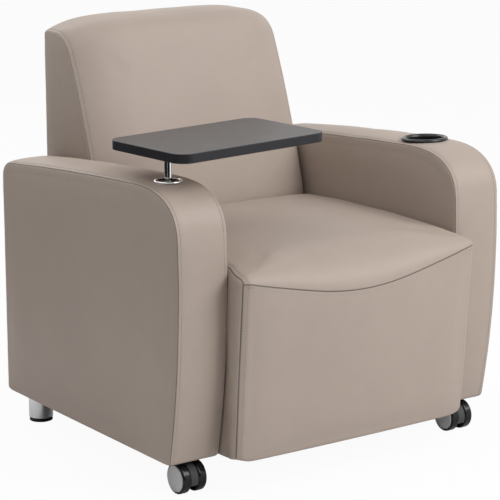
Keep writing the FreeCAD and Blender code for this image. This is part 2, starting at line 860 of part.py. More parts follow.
def wheel(face_x):
    """A hollow wheel with its closed side at face_x and its open, ribbed side towards the hood."""
    cap_bed = hub_cap_thickness
    web = cap_bed + wheel_web
    bore = axle_radius + running_clearance
    rim = wheel_radius - wheel_rim
    cap_room = hub_cap_radius + soft_gap
    profile = [
        (wheel_hub_radius, wheel_width), (wheel_hub_radius, web), (rim, web), (rim, wheel_width),
        (wheel_radius, wheel_width), (wheel_radius, 0), (cap_room, 0), (cap_room, cap_bed),
        (bore, cap_bed), (bore, wheel_width),
    ]
    points = [Vector(radius, 0, depth) for radius, depth in profile]
    solid = Part.Face(Part.makePolygon(points + points[:1])).revolve(Vector(), up, 360)
    rims = [edge for edge in solid.Edges
            if edge.Curve.TypeId == "Part::GeomCircle" and edge.Curve.Radius > (cap_room + wheel_radius) / 2]
    solid = solid.makeFillet(min(wheel_edge_radius, wheel_radius - cap_room - 2 * soft_gap), rims)
    for step in range(wheel_rib_count):
        rib = box((wheel_hub_radius - wheel_rib_overlap, rim + wheel_rib_overlap),
                  (-wheel_rib_thickness / 2, wheel_rib_thickness / 2), (web, web + wheel_rib_height))
        rib.rotate(Vector(), up, 360.0 * step / wheel_rib_count)
        solid = solid.fuse(rib)
    solid = solid.removeSplitter()
    solid.rotate(Vector(), Vector(0, 1, 0), 90)
    solid.translate(Vector(face_x, axle_y, wheel_radius))
    return solid


def build_caster():
    """The left caster, with its wheels named by the side of the chair that they face."""
    centre = Vector(arm_x, axle_y, wheel_radius)
    hood_half = wheel_gap / 2 - hood_side_gap
    boss_top = base_z - socket_flange_thickness - soft_gap
    collar_low = 2 * wheel_radius + hood_collar_clearance
    between_wheels = box((arm_x - hood_half, arm_x + hood_half),
                         (axle_y - hood_radius, stem_y + hood_boss_radius),
                         (hood_opening_height, collar_low))
    fender = rod(hood_radius, centre - Vector(hood_half, 0, 0), 2 * hood_half, across).common(between_wheels)
    hub = rod(wheel_hub_radius, centre - Vector(hood_half, 0, 0), 2 * hood_half, across)
    neck = rod(hood_boss_radius, Vector(arm_x, stem_y, wheel_radius), collar_low - wheel_radius)
    collar = rod(hood_boss_radius, Vector(arm_x, stem_y, collar_low), boss_top - collar_low)
    axle_hole = rod(axle_radius + fit_clearance, centre - Vector(wheel_gap, 0, 0), 2 * wheel_gap, across)
    stem_low = boss_top - stem_seat
    stem_hole = rod(stem_radius + fit_clearance, Vector(arm_x, stem_y, stem_low), stem_seat * 2)
    hood = joined(fender, hub, neck.common(between_wheels), collar).cut(axle_hole).cut(stem_hole)

    stem = rod(stem_radius, Vector(arm_x, stem_y, stem_low), base_z + stem_length - stem_low)
    groove = ring(stem_radius + stem_ring_groove, stem_radius - stem_ring_groove,
                  Vector(arm_x, stem_y, base_z + stem_length - stem_ring_depth), stem_ring_height)
    stem = stem.cut(groove)

    bore = stem_radius + running_clearance
    flange_low = base_z - socket_flange_thickness
    sleeve = joined(ring(bore + socket_sleeve_wall, bore, Vector(arm_x, stem_y, base_z), stem_length),
                    ring(socket_flange_radius, bore, Vector(arm_x, stem_y, flange_low),
                         socket_flange_thickness))

    outer_face = arm_x - wheel_gap / 2 - wheel_width
    outer_wheel = wheel(outer_face)
    inner_wheel = outer_wheel.mirror(Vector(arm_x, 0, 0), across)
    cap = rod(hub_cap_radius, Vector(outer_face, axle_y, wheel_radius), hub_cap_thickness - soft_gap, across)
    inner_cap = cap.mirror(Vector(arm_x, 0, 0), across)
    axle_half = wheel_gap / 2 + wheel_width - hub_cap_thickness
    axle = rod(axle_radius, centre - Vector(axle_half, 0, 0), 2 * axle_half, across)
    return {
        "caster_hood": hood,
        "caster_stem": stem,
        "caster_axle": axle,
        "caster_socket": sleeve,
        "caster_outer_wheel": outer_wheel,
        "caster_inner_wheel": inner_wheel,
        "caster_outer_cap": cap,
        "caster_inner_cap": inner_cap,
    }


def build_casters():
    left = build_caster()
    parts = {"left_" + name: shape for name, shape in left.items()}
    parts.update({"right_" + name: mirrored(shape) for name, shape in left.items()})
    return parts


def build_chair():
    parts = {}
    for build in (build_arms, build_caster_blocks, build_seat, build_back, build_bolts, build_dust_cover,
                  build_tablet, build_socket, build_cup_holder, build_legs, build_casters):
        parts.update(build())
    return parts


os.makedirs("parts", exist_ok=True)
for node, shape in build_chair().items():
    shape.exportStep("parts/" + node + ".step")
    print(node, len(shape.Solids), "solids", round(shape.Volume / 1000, 1), "cm3", shape.isValid())
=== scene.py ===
"""Tablet arm chair: the looks of the piece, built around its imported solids.

Metres throughout, +Z up, the front faces -Y. Left is -X and carries the writing tablet.
"""

import cmath
import json
import logging
import math
from dataclasses import dataclass, field
from enum import Enum
from typing import Any, Callable, Optional, Sequence, Union

import bpy
import numpy as np
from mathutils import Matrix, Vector, kdtree
from mathutils.bvhtree import BVHTree


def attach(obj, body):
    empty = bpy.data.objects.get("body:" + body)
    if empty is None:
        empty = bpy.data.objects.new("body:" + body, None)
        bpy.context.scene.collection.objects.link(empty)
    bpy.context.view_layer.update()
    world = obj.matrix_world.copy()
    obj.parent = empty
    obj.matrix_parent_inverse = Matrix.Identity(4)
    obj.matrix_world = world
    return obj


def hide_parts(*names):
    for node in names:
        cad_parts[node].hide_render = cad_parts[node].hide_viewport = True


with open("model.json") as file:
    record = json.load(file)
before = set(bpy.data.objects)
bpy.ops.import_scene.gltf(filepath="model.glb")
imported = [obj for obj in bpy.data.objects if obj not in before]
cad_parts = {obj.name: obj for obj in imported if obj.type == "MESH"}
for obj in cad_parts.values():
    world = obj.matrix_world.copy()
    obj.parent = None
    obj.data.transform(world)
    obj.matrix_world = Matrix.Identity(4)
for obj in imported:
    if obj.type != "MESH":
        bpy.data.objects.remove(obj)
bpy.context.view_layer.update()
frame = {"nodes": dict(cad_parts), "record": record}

log = logging.getLogger("tablet_arm_chair")
Array = np.ndarray
Colour = tuple[float, float, float]
Piece = bpy.types.Object
Profile = tuple[tuple[float, float], ...]
Run = Callable[[Array], Array]
Spot = tuple[float, float, float]

ARM_X = 0.3295
WHITE = (1.0, 1.0, 1.0, 1.0)


# Shader nodes written as sums

def operator(kind: str, swapped: bool = False) -> Callable[["Wire", "Term"], "Wire"]:
    """A method that adds one Math node, with its own wire second where swapped.

    Args:
        kind: the node's operation.
        swapped: whether the wire itself comes second.

    Returns:
        The method.
    """

    def method(self: "Wire", other: "Term") -> "Wire":
        """Add the node."""
        first, second = (other, self) if swapped else (self, other)
        return self.board.add("ShaderNodeMath", {"operation": kind}, {0: first, 1: second})

    return method


class Wire:
    """A shader socket whose arithmetic adds Math nodes."""

    __add__, __radd__ = operator("ADD"), operator("ADD", True)
    __sub__, __rsub__ = operator("SUBTRACT"), operator("SUBTRACT", True)
    __mul__, __pow__ = operator("MULTIPLY"), operator("POWER")
    most, swing = operator("MAXIMUM"), operator("PINGPONG")

    def __init__(self, board: "Board", socket: bpy.types.NodeSocket) -> None:
        """Keep a socket and the board it belongs to."""
        self.board = board
        self.socket = socket


Term = Union[Wire, float, int]
Look = tuple[Wire, Optional[Wire], Optional[Wire]]


class Board:
    """The node tree of one material, or of the world."""

    def __init__(self, owner: Union[bpy.types.Material, bpy.types.World]) -> None:
        """Start an empty node tree.

        Args:
            owner: the material or world that gets the tree.
        """
        owner.use_nodes = True
        self.tree = owner.node_tree
        self.tree.nodes.clear()

    def add(self, kind: str, settings: Optional[dict[str, Any]] = None,
            inputs: Optional[dict[Union[int, str], Any]] = None, output: Union[int, str] = 0) -> Optional[Wire]:
        """Add any node.

        Args:
            kind: the node's type.
            settings: its own settings, set first.
            inputs: a value or a wire for each socket.
            output: the socket to return.

        Returns:
            The chosen output, or nothing for a node that has none.
        """
        node = self.tree.nodes.new(kind)
        for key, value in (settings or {}).items():
            setattr(node, key, value)
        for key, value in (inputs or {}).items():
            if isinstance(value, Wire):
                self.tree.links.new(value.socket, node.inputs[key])
            else:
                node.inputs[key].default_value = value
        return Wire(self, node.outputs[output]) if len(node.outputs) else None

    def place(self, scale: Spot = (1.0, 1.0, 1.0)) -> Wire:
        """Object coordinates, stretched by a scale."""
        spot = self.add("ShaderNodeTexCoord", output="Object")
        return self.add("ShaderNodeMapping", {}, {"Vector": spot, "Scale": scale})

    def attribute(self, name: str) -> Wire:
        """A number kept on the mesh."""
        return self.add("ShaderNodeAttribute", {"attribute_name": name}, output="Fac")

    def cloud(self, place: Wire, scale: float, detail: float = 2.0, roughness: float = 0.5) -> Wire:
        """Soft noise from 0 to 1."""
        return self.add("ShaderNodeTexNoise", {}, {"Vector": place, "Scale": scale, "Detail": detail,
                                                   "Roughness": roughness})

    def cells(self, place: Wire, scale: float, feature: str = "SMOOTH_F1") -> Wire:
        """Distance in a pattern of cells."""
        return self.add("ShaderNodeTexVoronoi", {"feature": feature}, {"Vector": place, "Scale": scale},
                        "Distance")

    def bands(self, place: Wire, way: str, scale: float, distortion: float) -> Wire:
        """Bands that follow each other in one direction."""
        return self.add("ShaderNodeTexWave", {"bands_direction": way},
                        {"Vector": place, "Scale": scale, "Distortion": distortion, "Detail": 2.0}, "Fac")

    def spread(self, value: Wire, low: float, high: float, start: float = 0.0, end: float = 1.0) -> Wire:
        """Ease a value that runs from low to high into one that runs from start to end."""
        return self.add("ShaderNodeMapRange", {"interpolation_type": "SMOOTHSTEP"},
                        {"Value": value, "From Min": low, "From Max": high, "To Min": start, "To Max": end})

    def shade(self, colour: Colour, tone: Wire) -> Wire:
        """A colour made lighter or darker by a tone around 1."""
        return self.add("ShaderNodeMix", {"data_type": "RGBA", "blend_type": "MULTIPLY"},
                        {0: 1.0, 6: (*colour, 1.0), 7: tone}, 2)

    def bump(self, height: Wire, distance: float, strength: float = 1.0, under: Optional[Wire] = None) -> Wire:
        """Surface relief from a height of 0 to 1 over a distance in metres.

        Args:
            height: what rises.
            distance: how far it rises.
            strength: how much of it shows.
            under: relief beneath this one.

        Returns:
            The normal.
        """
        inputs = {"Height": height, "Distance": distance, "Strength": strength}
        if under is not None:
            inputs["Normal"] = under
        return self.add("ShaderNodeBump", {}, inputs)

    def rays(self) -> list[Wire]:
        """Whether a ray comes from the camera, from a reflection or through glass."""
        return [self.add("ShaderNodeLightPath", output=kind)
                for kind in ("Is Camera Ray", "Is Glossy Ray", "Is Transmission Ray")]


# Finishes

@dataclass(frozen=True)
class Finish:
    """A surface finish: plain numbers for the shader, and a pattern that varies some of them."""

    name: str
    colour: Colour
    roughness: float = 0.5
    metallic: float = 0.0
    specular: float = 0.5

    def material(self) -> bpy.types.Material:
        """The finish as a material, made once.

        Returns:
            The material.
        """
        found = bpy.data.materials.get(self.name)
        if found is not None:
            return found
        made = bpy.data.materials.new(self.name)
        board = Board(made)
        tone, rough, relief = self.pattern(board)
        inputs = {"Base Color": board.shade(self.colour, tone), "Metallic": self.metallic,
                  "Roughness": self.roughness if rough is None else rough, "Specular IOR Level": self.specular}
        if relief is not None:
            inputs["Normal"] = relief
        shader = board.add("ShaderNodeBsdfPrincipled", {}, inputs)
        board.add("ShaderNodeOutputMaterial", {}, {"Surface": shader})
        return made

    def pattern(self, board: Board) -> Look:
        """What varies over the surface.

        Args:
            board: the tree that gets the nodes.

        Returns:
            A tone around 1, and a roughness and a relief where they vary.
        """
        raise NotImplementedError

    def dress(self, piece: Piece) -> None:
        """Give a piece this finish all over."""
        piece.data.materials.clear()
        piece.data.materials.append(self.material())


@dataclass(frozen=True)
class Leather(Finish):
    """Smooth coated leather with pores, a soft mottle, painted shade in the seam creases and needle holes."""

    pore_scale: float = 620.0
    stitch_pitch: float = 0.0062

    def pattern(self, board: Board) -> Look:
        """Grain, mottle, painted shade in the crease of each seam and in the needle holes beside it, and a slight
        darkening near the seams.
        """
        place = board.place()
        broad = board.cloud(place, 3.2, 2.0)
        mottle = board.cloud(place, 34.0, 3.0, 0.6)
        pores = board.cells(place, self.pore_scale)
        fine = board.cloud(place, 1500.0, 2.0)
        seam, row, run = (board.attribute(name) for name in ("seam", "row", "run"))
        # Painted shade: the colour is darkened in each seam's crease, where the groove would be in shade; the
        # same mask also roughens it.
        crease_shade = board.spread(seam, 0.0004, 0.0020, 1.0, 0.0)
        near = board.spread(seam, 0.0, 0.022, 1.0, 0.0)
        reach = ((run.swing(0.5) * self.stitch_pitch) ** 2 + row ** 2) ** 0.5
        # Painted shade: the needle holes are darkened in the colour as well as pressed in by the bump.
        hole = board.spread(reach, 0.0004, 0.0012, 1.0, 0.0)
        tone = 1.0 + (broad - 0.5) * 0.10 + (mottle - 0.5) * 0.07 + (fine - 0.5) * 0.05
        # Painted shade in the tone: darker in the seam creases and the needle holes; also 2% darker within 22 mm
        # of a seam.
        tone = tone * (1 - crease_shade * 0.56) * (1 - hole * 0.28) * (1 - near * 0.02)
        rough = self.roughness + (mottle - 0.5) * 0.10 + (fine - 0.5) * 0.05 + crease_shade * 0.35 + near * 0.06
        grain = board.bump(pores * 0.7 + fine * 0.3, 0.00016, 0.30)
        return tone, rough, board.bump(1 - hole, 0.0009, 0.8, grain)


@dataclass(frozen=True)
class Thread(Finish):
    """Sewing thread with a twist."""

    def pattern(self, board: Board) -> Look:
        """Twisted plies and a slight change of tone."""
        place = board.place()
        ply = board.bands(place, "DIAGONAL", 900.0, 1.0)
        tone = 0.86 + ply * 0.2 + (board.cloud(place, 60.0) - 0.5) * 0.15
        return tone, None, board.bump(ply, 0.0002, 0.6)


@dataclass(frozen=True)
class Moulded(Finish):
    """Moulded or pressed plastic with a fine skin texture and a few rubbed spots."""

    skin_scale: float = 900.0
    skin_depth: float = 0.00008
    tone_spread: float = 0.10
    rub: float = 0.08

    def pattern(self, board: Board) -> Look:
        """Skin texture, faint flow marks and rubbed patches."""
        place = board.place()
        skin = board.cells(place, self.skin_scale)
        flow = board.cloud(place, 14.0, 3.0)
        dust = board.cloud(place, 420.0, 3.0, 0.7)
        tone = 1.0 + (flow - 0.5) * self.tone_spread + (dust - 0.5) * self.tone_spread
        rough = self.roughness + (flow - 0.5) * self.rub * 2 + (dust - 0.5) * self.rub
        return tone, rough, board.bump(skin, self.skin_depth, 0.6)


@dataclass(frozen=True)
class Laminate(Finish):
    """Dark laminate with a pebbled press plate texture and light handling marks."""

    def pattern(self, board: Board) -> Look:
        """Pebbles, fine flecks and smudges."""
        place = board.place()
        pebble = board.cells(place, 480.0)
        fleck = board.cloud(place, 1300.0, 2.0, 0.7)
        smudge = board.cloud(place, 9.0, 4.0, 0.6)
        tone = 1.0 + (fleck - 0.5) * 0.22 + (smudge - 0.5) * 0.10
        return tone, self.roughness + (smudge - 0.5) * 0.14, board.bump(pebble, 0.00008, 0.5)


@dataclass(frozen=True)
class Plated(Finish):
    """Plated metal with faint smudges and hairlines."""

    hairline: float = 0.02

    def pattern(self, board: Board) -> Look:
        """Smudges in the polish and fine hairlines."""
        smudge = board.cloud(board.place(), 26.0, 4.0, 0.65)
        hair = board.cloud(board.place((40.0, 40.0, 900.0)), 1.0, 2.0)
        rough = self.roughness + (smudge - 0.45).most(0.0) * self.roughness * 1.6 + (hair - 0.5) * self.hairline
        return 1.0 + (smudge - 0.5) * 0.06, rough, None


@dataclass(frozen=True)
class Plywood(Finish):
    """Raw plywood with long grain."""

    def pattern(self, board: Board) -> Look:
        """Long grain, broad figure and open pores."""
        grain = board.cloud(board.place((60.0, 5.0, 60.0)), 1.0, 5.0, 0.6)
        figure = board.bands(board.place((2.0, 0.6, 2.0)), "Z", 4.0, 6.0)
        pore = board.cloud(board.place((500.0, 40.0, 500.0)), 1.0, 2.0)
        tone = 0.82 + grain * 0.28 + figure * 0.10 - (pore - 0.6).most(0.0) * 0.6
        return tone, self.roughness + (grain - 0.5) * 0.2, board.bump(grain, 0.0004, 0.5)


@dataclass(frozen=True)
class Woven(Finish):
    """Woven or felted cloth."""

    thread_scale: float = 420.0

    def pattern(self, board: Board) -> Look:
        """Warp over weft, with loose fibres."""
        place = board.place()
        warp, weft = (board.bands(place, way, self.thread_scale, 0.6) for way in "XY")
        fibre = board.cloud(place, 240.0, 4.0, 0.7)
        weave = warp.most(weft)
        tone = 0.7 + weave * 0.35 + (fibre - 0.5) * 0.5
        return tone, None, board.bump(weave + fibre, 0.0003, 0.7)


@dataclass(frozen=True)
class Porous(Finish):
    """Cut foam or pressed board."""

    cell_scale: float = 700.0

    def pattern(self, board: Board) -> Look:
        """Open cells or chips."""
        place = board.place()
        cell = board.cells(place, self.cell_scale, "F1")
        tone = 0.75 + cell * 0.35 + (board.cloud(place, 6.0, 3.0) - 0.5) * 0.15
        return tone, None, board.bump(cell, 0.0006, 0.8)


TAUPE = Leather("taupe_leather", (0.412, 0.340, 0.292), 0.46, specular=0.22)
THREAD = Thread("taupe_thread", (0.460, 0.398, 0.345), 0.6)
LAMINATE = Laminate("dark_laminate", (0.078, 0.071, 0.067), 0.40, specular=0.20)
EDGE_BAND = Moulded("black_edge_band", (0.014, 0.0135, 0.017), 0.38, specular=0.30)
CHROME = Plated("polished_chrome", (0.82, 0.82, 0.83), 0.07, 1.0, hairline=0.01)
ZINC = Plated("zinc_plate", (0.56, 0.56, 0.57), 0.33, 1.0, hairline=0.10)
CUP_BLACK = Moulded("cup_black", (0.008, 0.008, 0.009), 0.22, specular=0.40, skin_depth=0.00003)
HOOD_GREY = Moulded("hood_plastic", (0.036, 0.036, 0.037), 0.55, specular=0.3, skin_scale=700.0,
                    skin_depth=0.0002)
TREAD_BLACK = Moulded("tread_black", (0.006, 0.006, 0.007), 0.15, specular=0.32, skin_depth=0.00002)
HUB_GREY = Moulded("hub_grey", (0.560, 0.565, 0.565), 0.36, skin_depth=0.00004)
NYLON = Moulded("black_nylon", (0.010, 0.010, 0.011), 0.5, specular=0.2)
PLYWOOD = Plywood("raw_plywood", (0.60, 0.44, 0.28), 0.65)
FOAM = Porous("cut_foam", (0.78, 0.72, 0.52), 0.9)
CORE = Porous("pressed_board", (0.34, 0.25, 0.17), 0.8, cell_scale=260.0)
WEBBING = Woven("strap_webbing", (0.055, 0.055, 0.058), 0.85)
DUST_CLOTH = Woven("underside_cloth", (0.022, 0.022, 0.023), 0.95, thread_scale=600.0)

SLOT_FINISH: dict[str, Finish] = {
    "upholstery": TAUPE, "foam": FOAM, "plywood": PLYWOOD, "webbing": WEBBING, "dust_cloth": DUST_CLOTH,
    "steel": ZINC, "chrome": CHROME, "nylon": NYLON, "black_plastic": CUP_BLACK, "tablet_core": CORE,
    "tablet_top": LAMINATE, "tablet_edge": EDGE_BAND, "hood_plastic": HOOD_GREY, "wheel_tread": TREAD_BLACK,
    "hub_cap": HUB_GREY,
}


# Modelling helpers

class Side(Enum):
    """A side of the chair as seen from the front, with its sign along X."""

    LEFT = -1
    RIGHT = 1

    @property
    def word(self) -> str:
        """The side's name in lower case."""
        return self.name.lower()


class Axis(Enum):
    """A direction that a piece is turned about."""

    UP = (0.0, 0.0, 1.0)
    LEFT = (-1.0, 0.0, 0.0)
    RIGHT = (1.0, 0.0, 0.0)
    ARM_TOP = (0.0, 0.0405, 0.99918)


def deselect() -> None:
    """Leave edit mode and clear the selection."""
    if bpy.context.object is not None and bpy.context.object.mode != "OBJECT":
        bpy.ops.object.mode_set(mode="OBJECT")
    bpy.ops.object.select_all(action="DESELECT")


def activate(piece: Piece) -> None:
    """Select one piece alone and make it active.

    Args:
        piece: what to select.
    """
    deselect()
    piece.select_set(True)
    bpy.context.view_layer.objects.active = piece


def edit(piece: Piece, kind: str = "VERT") -> None:
    """Open a piece in edit mode with everything selected.

    Args:
        piece: what to open.
        kind: what is selected: VERT, EDGE or FACE.
    """
    activate(piece)
    bpy.ops.object.mode_set(mode="EDIT")
    bpy.ops.mesh.select_mode(type=kind)
    bpy.ops.mesh.select_all(action="SELECT")


def done() -> None:
    """Go back to object mode."""
    bpy.ops.object.mode_set(mode="OBJECT")


def name_piece(piece: Piece, name: str) -> Piece:
    """Name a piece and its mesh alike."""
    piece.name = piece.data.name = name
    return piece


def apply(piece: Piece, kind: str, **settings: Any) -> None:
    """Add a modifier with its settings and apply it.

    Args:
        piece: what changes.
        kind: the modifier's type.
        settings: the modifier's settings.
    """
    activate(piece)
    modifier = piece.modifiers.new(kind.lower(), kind)
    for key, value in settings.items():
        setattr(modifier, key, value)
    bpy.ops.object.modifier_apply(modifier=modifier.name)


def cut(piece: Piece, solver: str) -> None:
    """Cut the piece added last out of another one, and delete it.

    Args:
        piece: what is cut.
        solver: how the cut is worked out.
    """
    cutter = bpy.context.object
    apply(piece, "BOOLEAN", operation="DIFFERENCE", solver=solver, object=cutter)
    bpy.data.objects.remove(cutter)


def hand_in(piece: Piece, finish: Finish, body: str = "chair") -> Piece:
    """Dress a finished piece, let it ride a body and report it.

    Args:
        piece: what is finished.
        finish: its finish.
        body: the body that carries it.

    Returns:
        The same piece.
    """
    finish.dress(piece)
    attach(piece, body)
    log.info("%s: %d faces", piece.name, len(piece.data.polygons))
    return piece


def aim(item: Piece, place: Spot, height: float) -> None:
    """Put a lamp or card in place and turn it to the chair's middle at a height."""
    item.location = place
    item.rotation_euler = (Vector((0.0, 0.0, height)) - Vector(place)).to_track_quat("-Z", "Y").to_euler()


def join(pieces: Sequence[Piece], name: str) -> Piece:
    """Join pieces into the first one.

    Args:
        pieces: what to join.
        name: the name of the whole.

    Returns:
        The whole.
    """
    deselect()
    for piece in pieces:
        piece.select_set(True)
    bpy.context.view_layer.objects.active = pieces[0]
    bpy.ops.object.join()
    return name_piece(pieces[0], name)


def triples(rows: Any, key: str) -> Array:
    """Three numbers from each row of a mesh's data.

    Args:
        rows: vertices or normals.
        key: what to read.

    Returns:
        The numbers, row by row.
    """
    flat = np.empty(len(rows) * 3, np.float32)
    rows.foreach_get(key, flat)
    return flat.reshape(-1, 3).astype(float)


def corners(piece: Piece) -> Array:
    """All vertex places of a piece."""
    return triples(piece.data.vertices, "co")


def move_corners(piece: Piece, places: Array) -> None:
    """Set all vertex places of a piece."""
    piece.data.vertices.foreach_set("co", places.astype(np.float32).ravel())
    piece.data.update()


def normals(piece: Piece) -> Array:
    """All vertex normals of a piece."""
    return triples(piece.data.vertex_normals, "vector")


def ripple(places: Array, length: float) -> Array:
    """Smooth unevenness from -1 to 1 with waves of about one length, the same on every run.

    Args:
        places: where to find it.
        length: the length of the waves.

    Returns:
        One number for each place.
    """
    ways = np.array([(0.8, 0.5, 0.3), (-0.4, 0.9, 0.2), (0.2, -0.5, 0.9), (0.6, 0.1, -0.8), (-0.7, -0.4, 0.5)])
    turns = places @ ways.T * (2 * math.pi / length) + np.array([0.0, 1.7, 3.1, 4.4, 5.6])
    return np.sin(turns + 1.3 * np.sin(turns[:, ::-1] * 0.37)).mean(axis=1) * 1.6


def panel(places: Array) -> Piece:
    """A grid of quads laid over an array of places, rows by columns.

    Args:
        places: the places.

    Returns:
        The grid.
    """
    rows, columns = places.shape[:2]
    deselect()
    bpy.ops.mesh.primitive_grid_add(x_subdivisions=columns - 1, y_subdivisions=rows - 1)
    made = bpy.context.object
    move_corners(made, places.reshape(-1, 3))
    return made


def straight(start: Sequence[float], end: Sequence[float]) -> Run:
    """A straight run of an outline."""
    first, last = np.array(start, float), np.array(end, float)
    return lambda way: first + np.asarray(way)[:, None] * (last - first)


def bow(start: Sequence[float], middle: Sequence[float], end: Sequence[float]) -> Run:
    """A run along the circle through three points.

    Args:
        start: where it starts.
        middle: where it passes.
        end: where it ends.

    Returns:
        The run.
    """
    first, through, last = complex(*start), complex(*middle), complex(*end)
    ratio = (last - first) / (through - first)
    centre = first + (through - first) * (ratio - abs(ratio) ** 2) / (2j * ratio.imag)
    turn = cmath.phase((last - centre) / (first - centre))

    def along(way: Array) -> Array:
        """Points along the bow."""
        points = centre + (first - centre) * np.exp(1j * turn * np.asarray(way))
        return np.stack([points.real, points.imag], axis=1)

    return along


def quarter(start: Sequence[float], centre: Sequence[float], end: Sequence[float], power: float = 2.0) -> Run:
    """A quarter of an ellipse from start to end, fuller where the power is above 2.

    Args:
        start: where it starts.
        centre: the ellipse's centre.
        end: where it ends.
        power: 2 for an ellipse.

    Returns:
        The run.
    """
    middle = np.array(centre, float)
    first, last = np.array(start) - middle, np.array(end) - middle

    def along(way: Array) -> Array:
        """Points along the quarter."""
        turn = np.asarray(way)[:, None] * math.pi / 2
        return middle + np.abs(np.cos(turn)) ** (2 / power) * first + np.sin(turn) ** (2 / power) * last

    return along


def ease(values: Array, start: float, end: float) -> Array:
    """A soft step from 0 at start to 1 at end."""
    way = np.clip((values - start) / (end - start), 0.0, 1.0)
    return way * way * (3 - 2 * way)


def from_foot(length: float, count: int) -> Array:
    """Stations of a run that rises from the foot, close together where the cover rolls under."""
    close = np.array([0.0, 0.0012, 0.003, 0.0055, 0.009])
    return np.concatenate([close, np.linspace(0.016, length, count)]) / length


def measure(points: Array) -> Array:
    """Distance run along a line of points."""
    steps = np.linalg.norm(np.diff(points, axis=0), axis=1)
    return np.concatenate([[0.0], np.cumsum(steps)])


def share(points: Array) -> Array:
    """Distance run along a line of points, from 0 to 1."""
    run = measure(points)
    return run / run[-1]


def respace(points: Array, pitch: float) -> Array:
    """Points at an even pitch along a line of points.

    Args:
        points: the line.
        pitch: the distance that is wanted.

    Returns:
        The new points.
    """
    run = measure(points)
    places = np.linspace(0.0, run[-1], max(2, int(round(run[-1] / pitch)) + 1))
    return np.stack([np.interp(places, run, points[:, axis]) for axis in range(points.shape[1])], axis=1)


def patch(front: Array, top: Array, rear: Array, foot: Array) -> Array:
    """A smooth patch inside four border lines.

    Args:
        front: from the toe up.
        top: from the front to the rear.
        rear: from the heel up.
        foot: from the toe to the heel.

    Returns:
        An array of places, front to rear by bottom to top.
    """
    s = ((share(front) + share(rear)) / 2)[None, :, None]
    r = ((share(top) + share(foot)) / 2)[:, None, None]
    sides = (1 - r) * front[None] + r * rear[None]
    ends = (1 - s) * foot[:, None] + s * top[:, None]
    knots = ((1 - r) * (1 - s) * foot[0] + r * (1 - s) * foot[-1] + (1 - r) * s * top[0] + r * s * top[-1])
    return sides + ends - knots


def mirrored_ways(steps: Sequence[float], half: float) -> Array:
    """Lines across a cover from distances in from its edge, mirrored about the middle."""
    inner = [-(half - step) / half for step in steps]
    return np.array(inner + [-way for way in reversed(inner) if way < -1e-9])


class Sewing:
    """Seam lines or stitch rows, with the distance of any place from them."""

    def __init__(self, lines: Sequence[Array], pitch: float = 0.0015) -> None:
        """Lay the lines out as closely spaced points.

        Args:
            lines: lines in space.
            pitch: how close the points lie.
        """
        self.lines = [respace(line, pitch) for line in lines]
        self.points = np.concatenate(self.lines)
        self.runs = np.concatenate([measure(line) for line in self.lines])
        ends = np.cumsum([len(line) for line in self.lines])
        self.first, self.last = np.zeros((2, len(self.points)), bool)
        self.first[np.concatenate([[0], ends[:-1]])] = True
        self.last[ends - 1] = True
        self.tree = kdtree.KDTree(len(self.points))
        for index, point in enumerate(self.points):
            self.tree.insert(point, index)
        self.tree.balance()

    def from_places(self, places: Array) -> tuple[Array, Array]:
        """Distance from the lines, and the run along the nearest one, for each place.

        Args:
            places: where to measure from.

        Returns:
            The distances and the runs.
        """
        nearest = np.array([self.tree.find(place)[1] for place in places])
        gap = np.linalg.norm(places - self.points[nearest], axis=1)
        run = self.runs[nearest].copy()
        for step, blocked in ((1, self.last), (-1, self.first)):
            other = np.where(blocked[nearest], nearest, nearest + step)
            way = self.points[other] - self.points[nearest]
            size = np.maximum((way ** 2).sum(1), 1e-12)
            part = np.clip(((places - self.points[nearest]) * way).sum(1) / size, 0.0, 1.0)
            foot = self.points[nearest] + part[:, None] * way
            closer = np.linalg.norm(places - foot, axis=1)
            run = np.where(closer < gap, self.runs[nearest] + part * (self.runs[other] - self.runs[nearest]), run)
            gap = np.minimum(gap, closer)
        return gap, run


# Upholstery

FILLING_FRAMES = 20
FILLING: dict[str, Any] = {
    "quality": 4, "mass": 0.35, "air_damping": 2.0, "tension_stiffness": 18.0, "compression_stiffness": 18.0,
    "shear_stiffness": 8.0, "bending_stiffness": 4.0, "use_pressure": True, "uniform_pressure_force": 4.0,
}


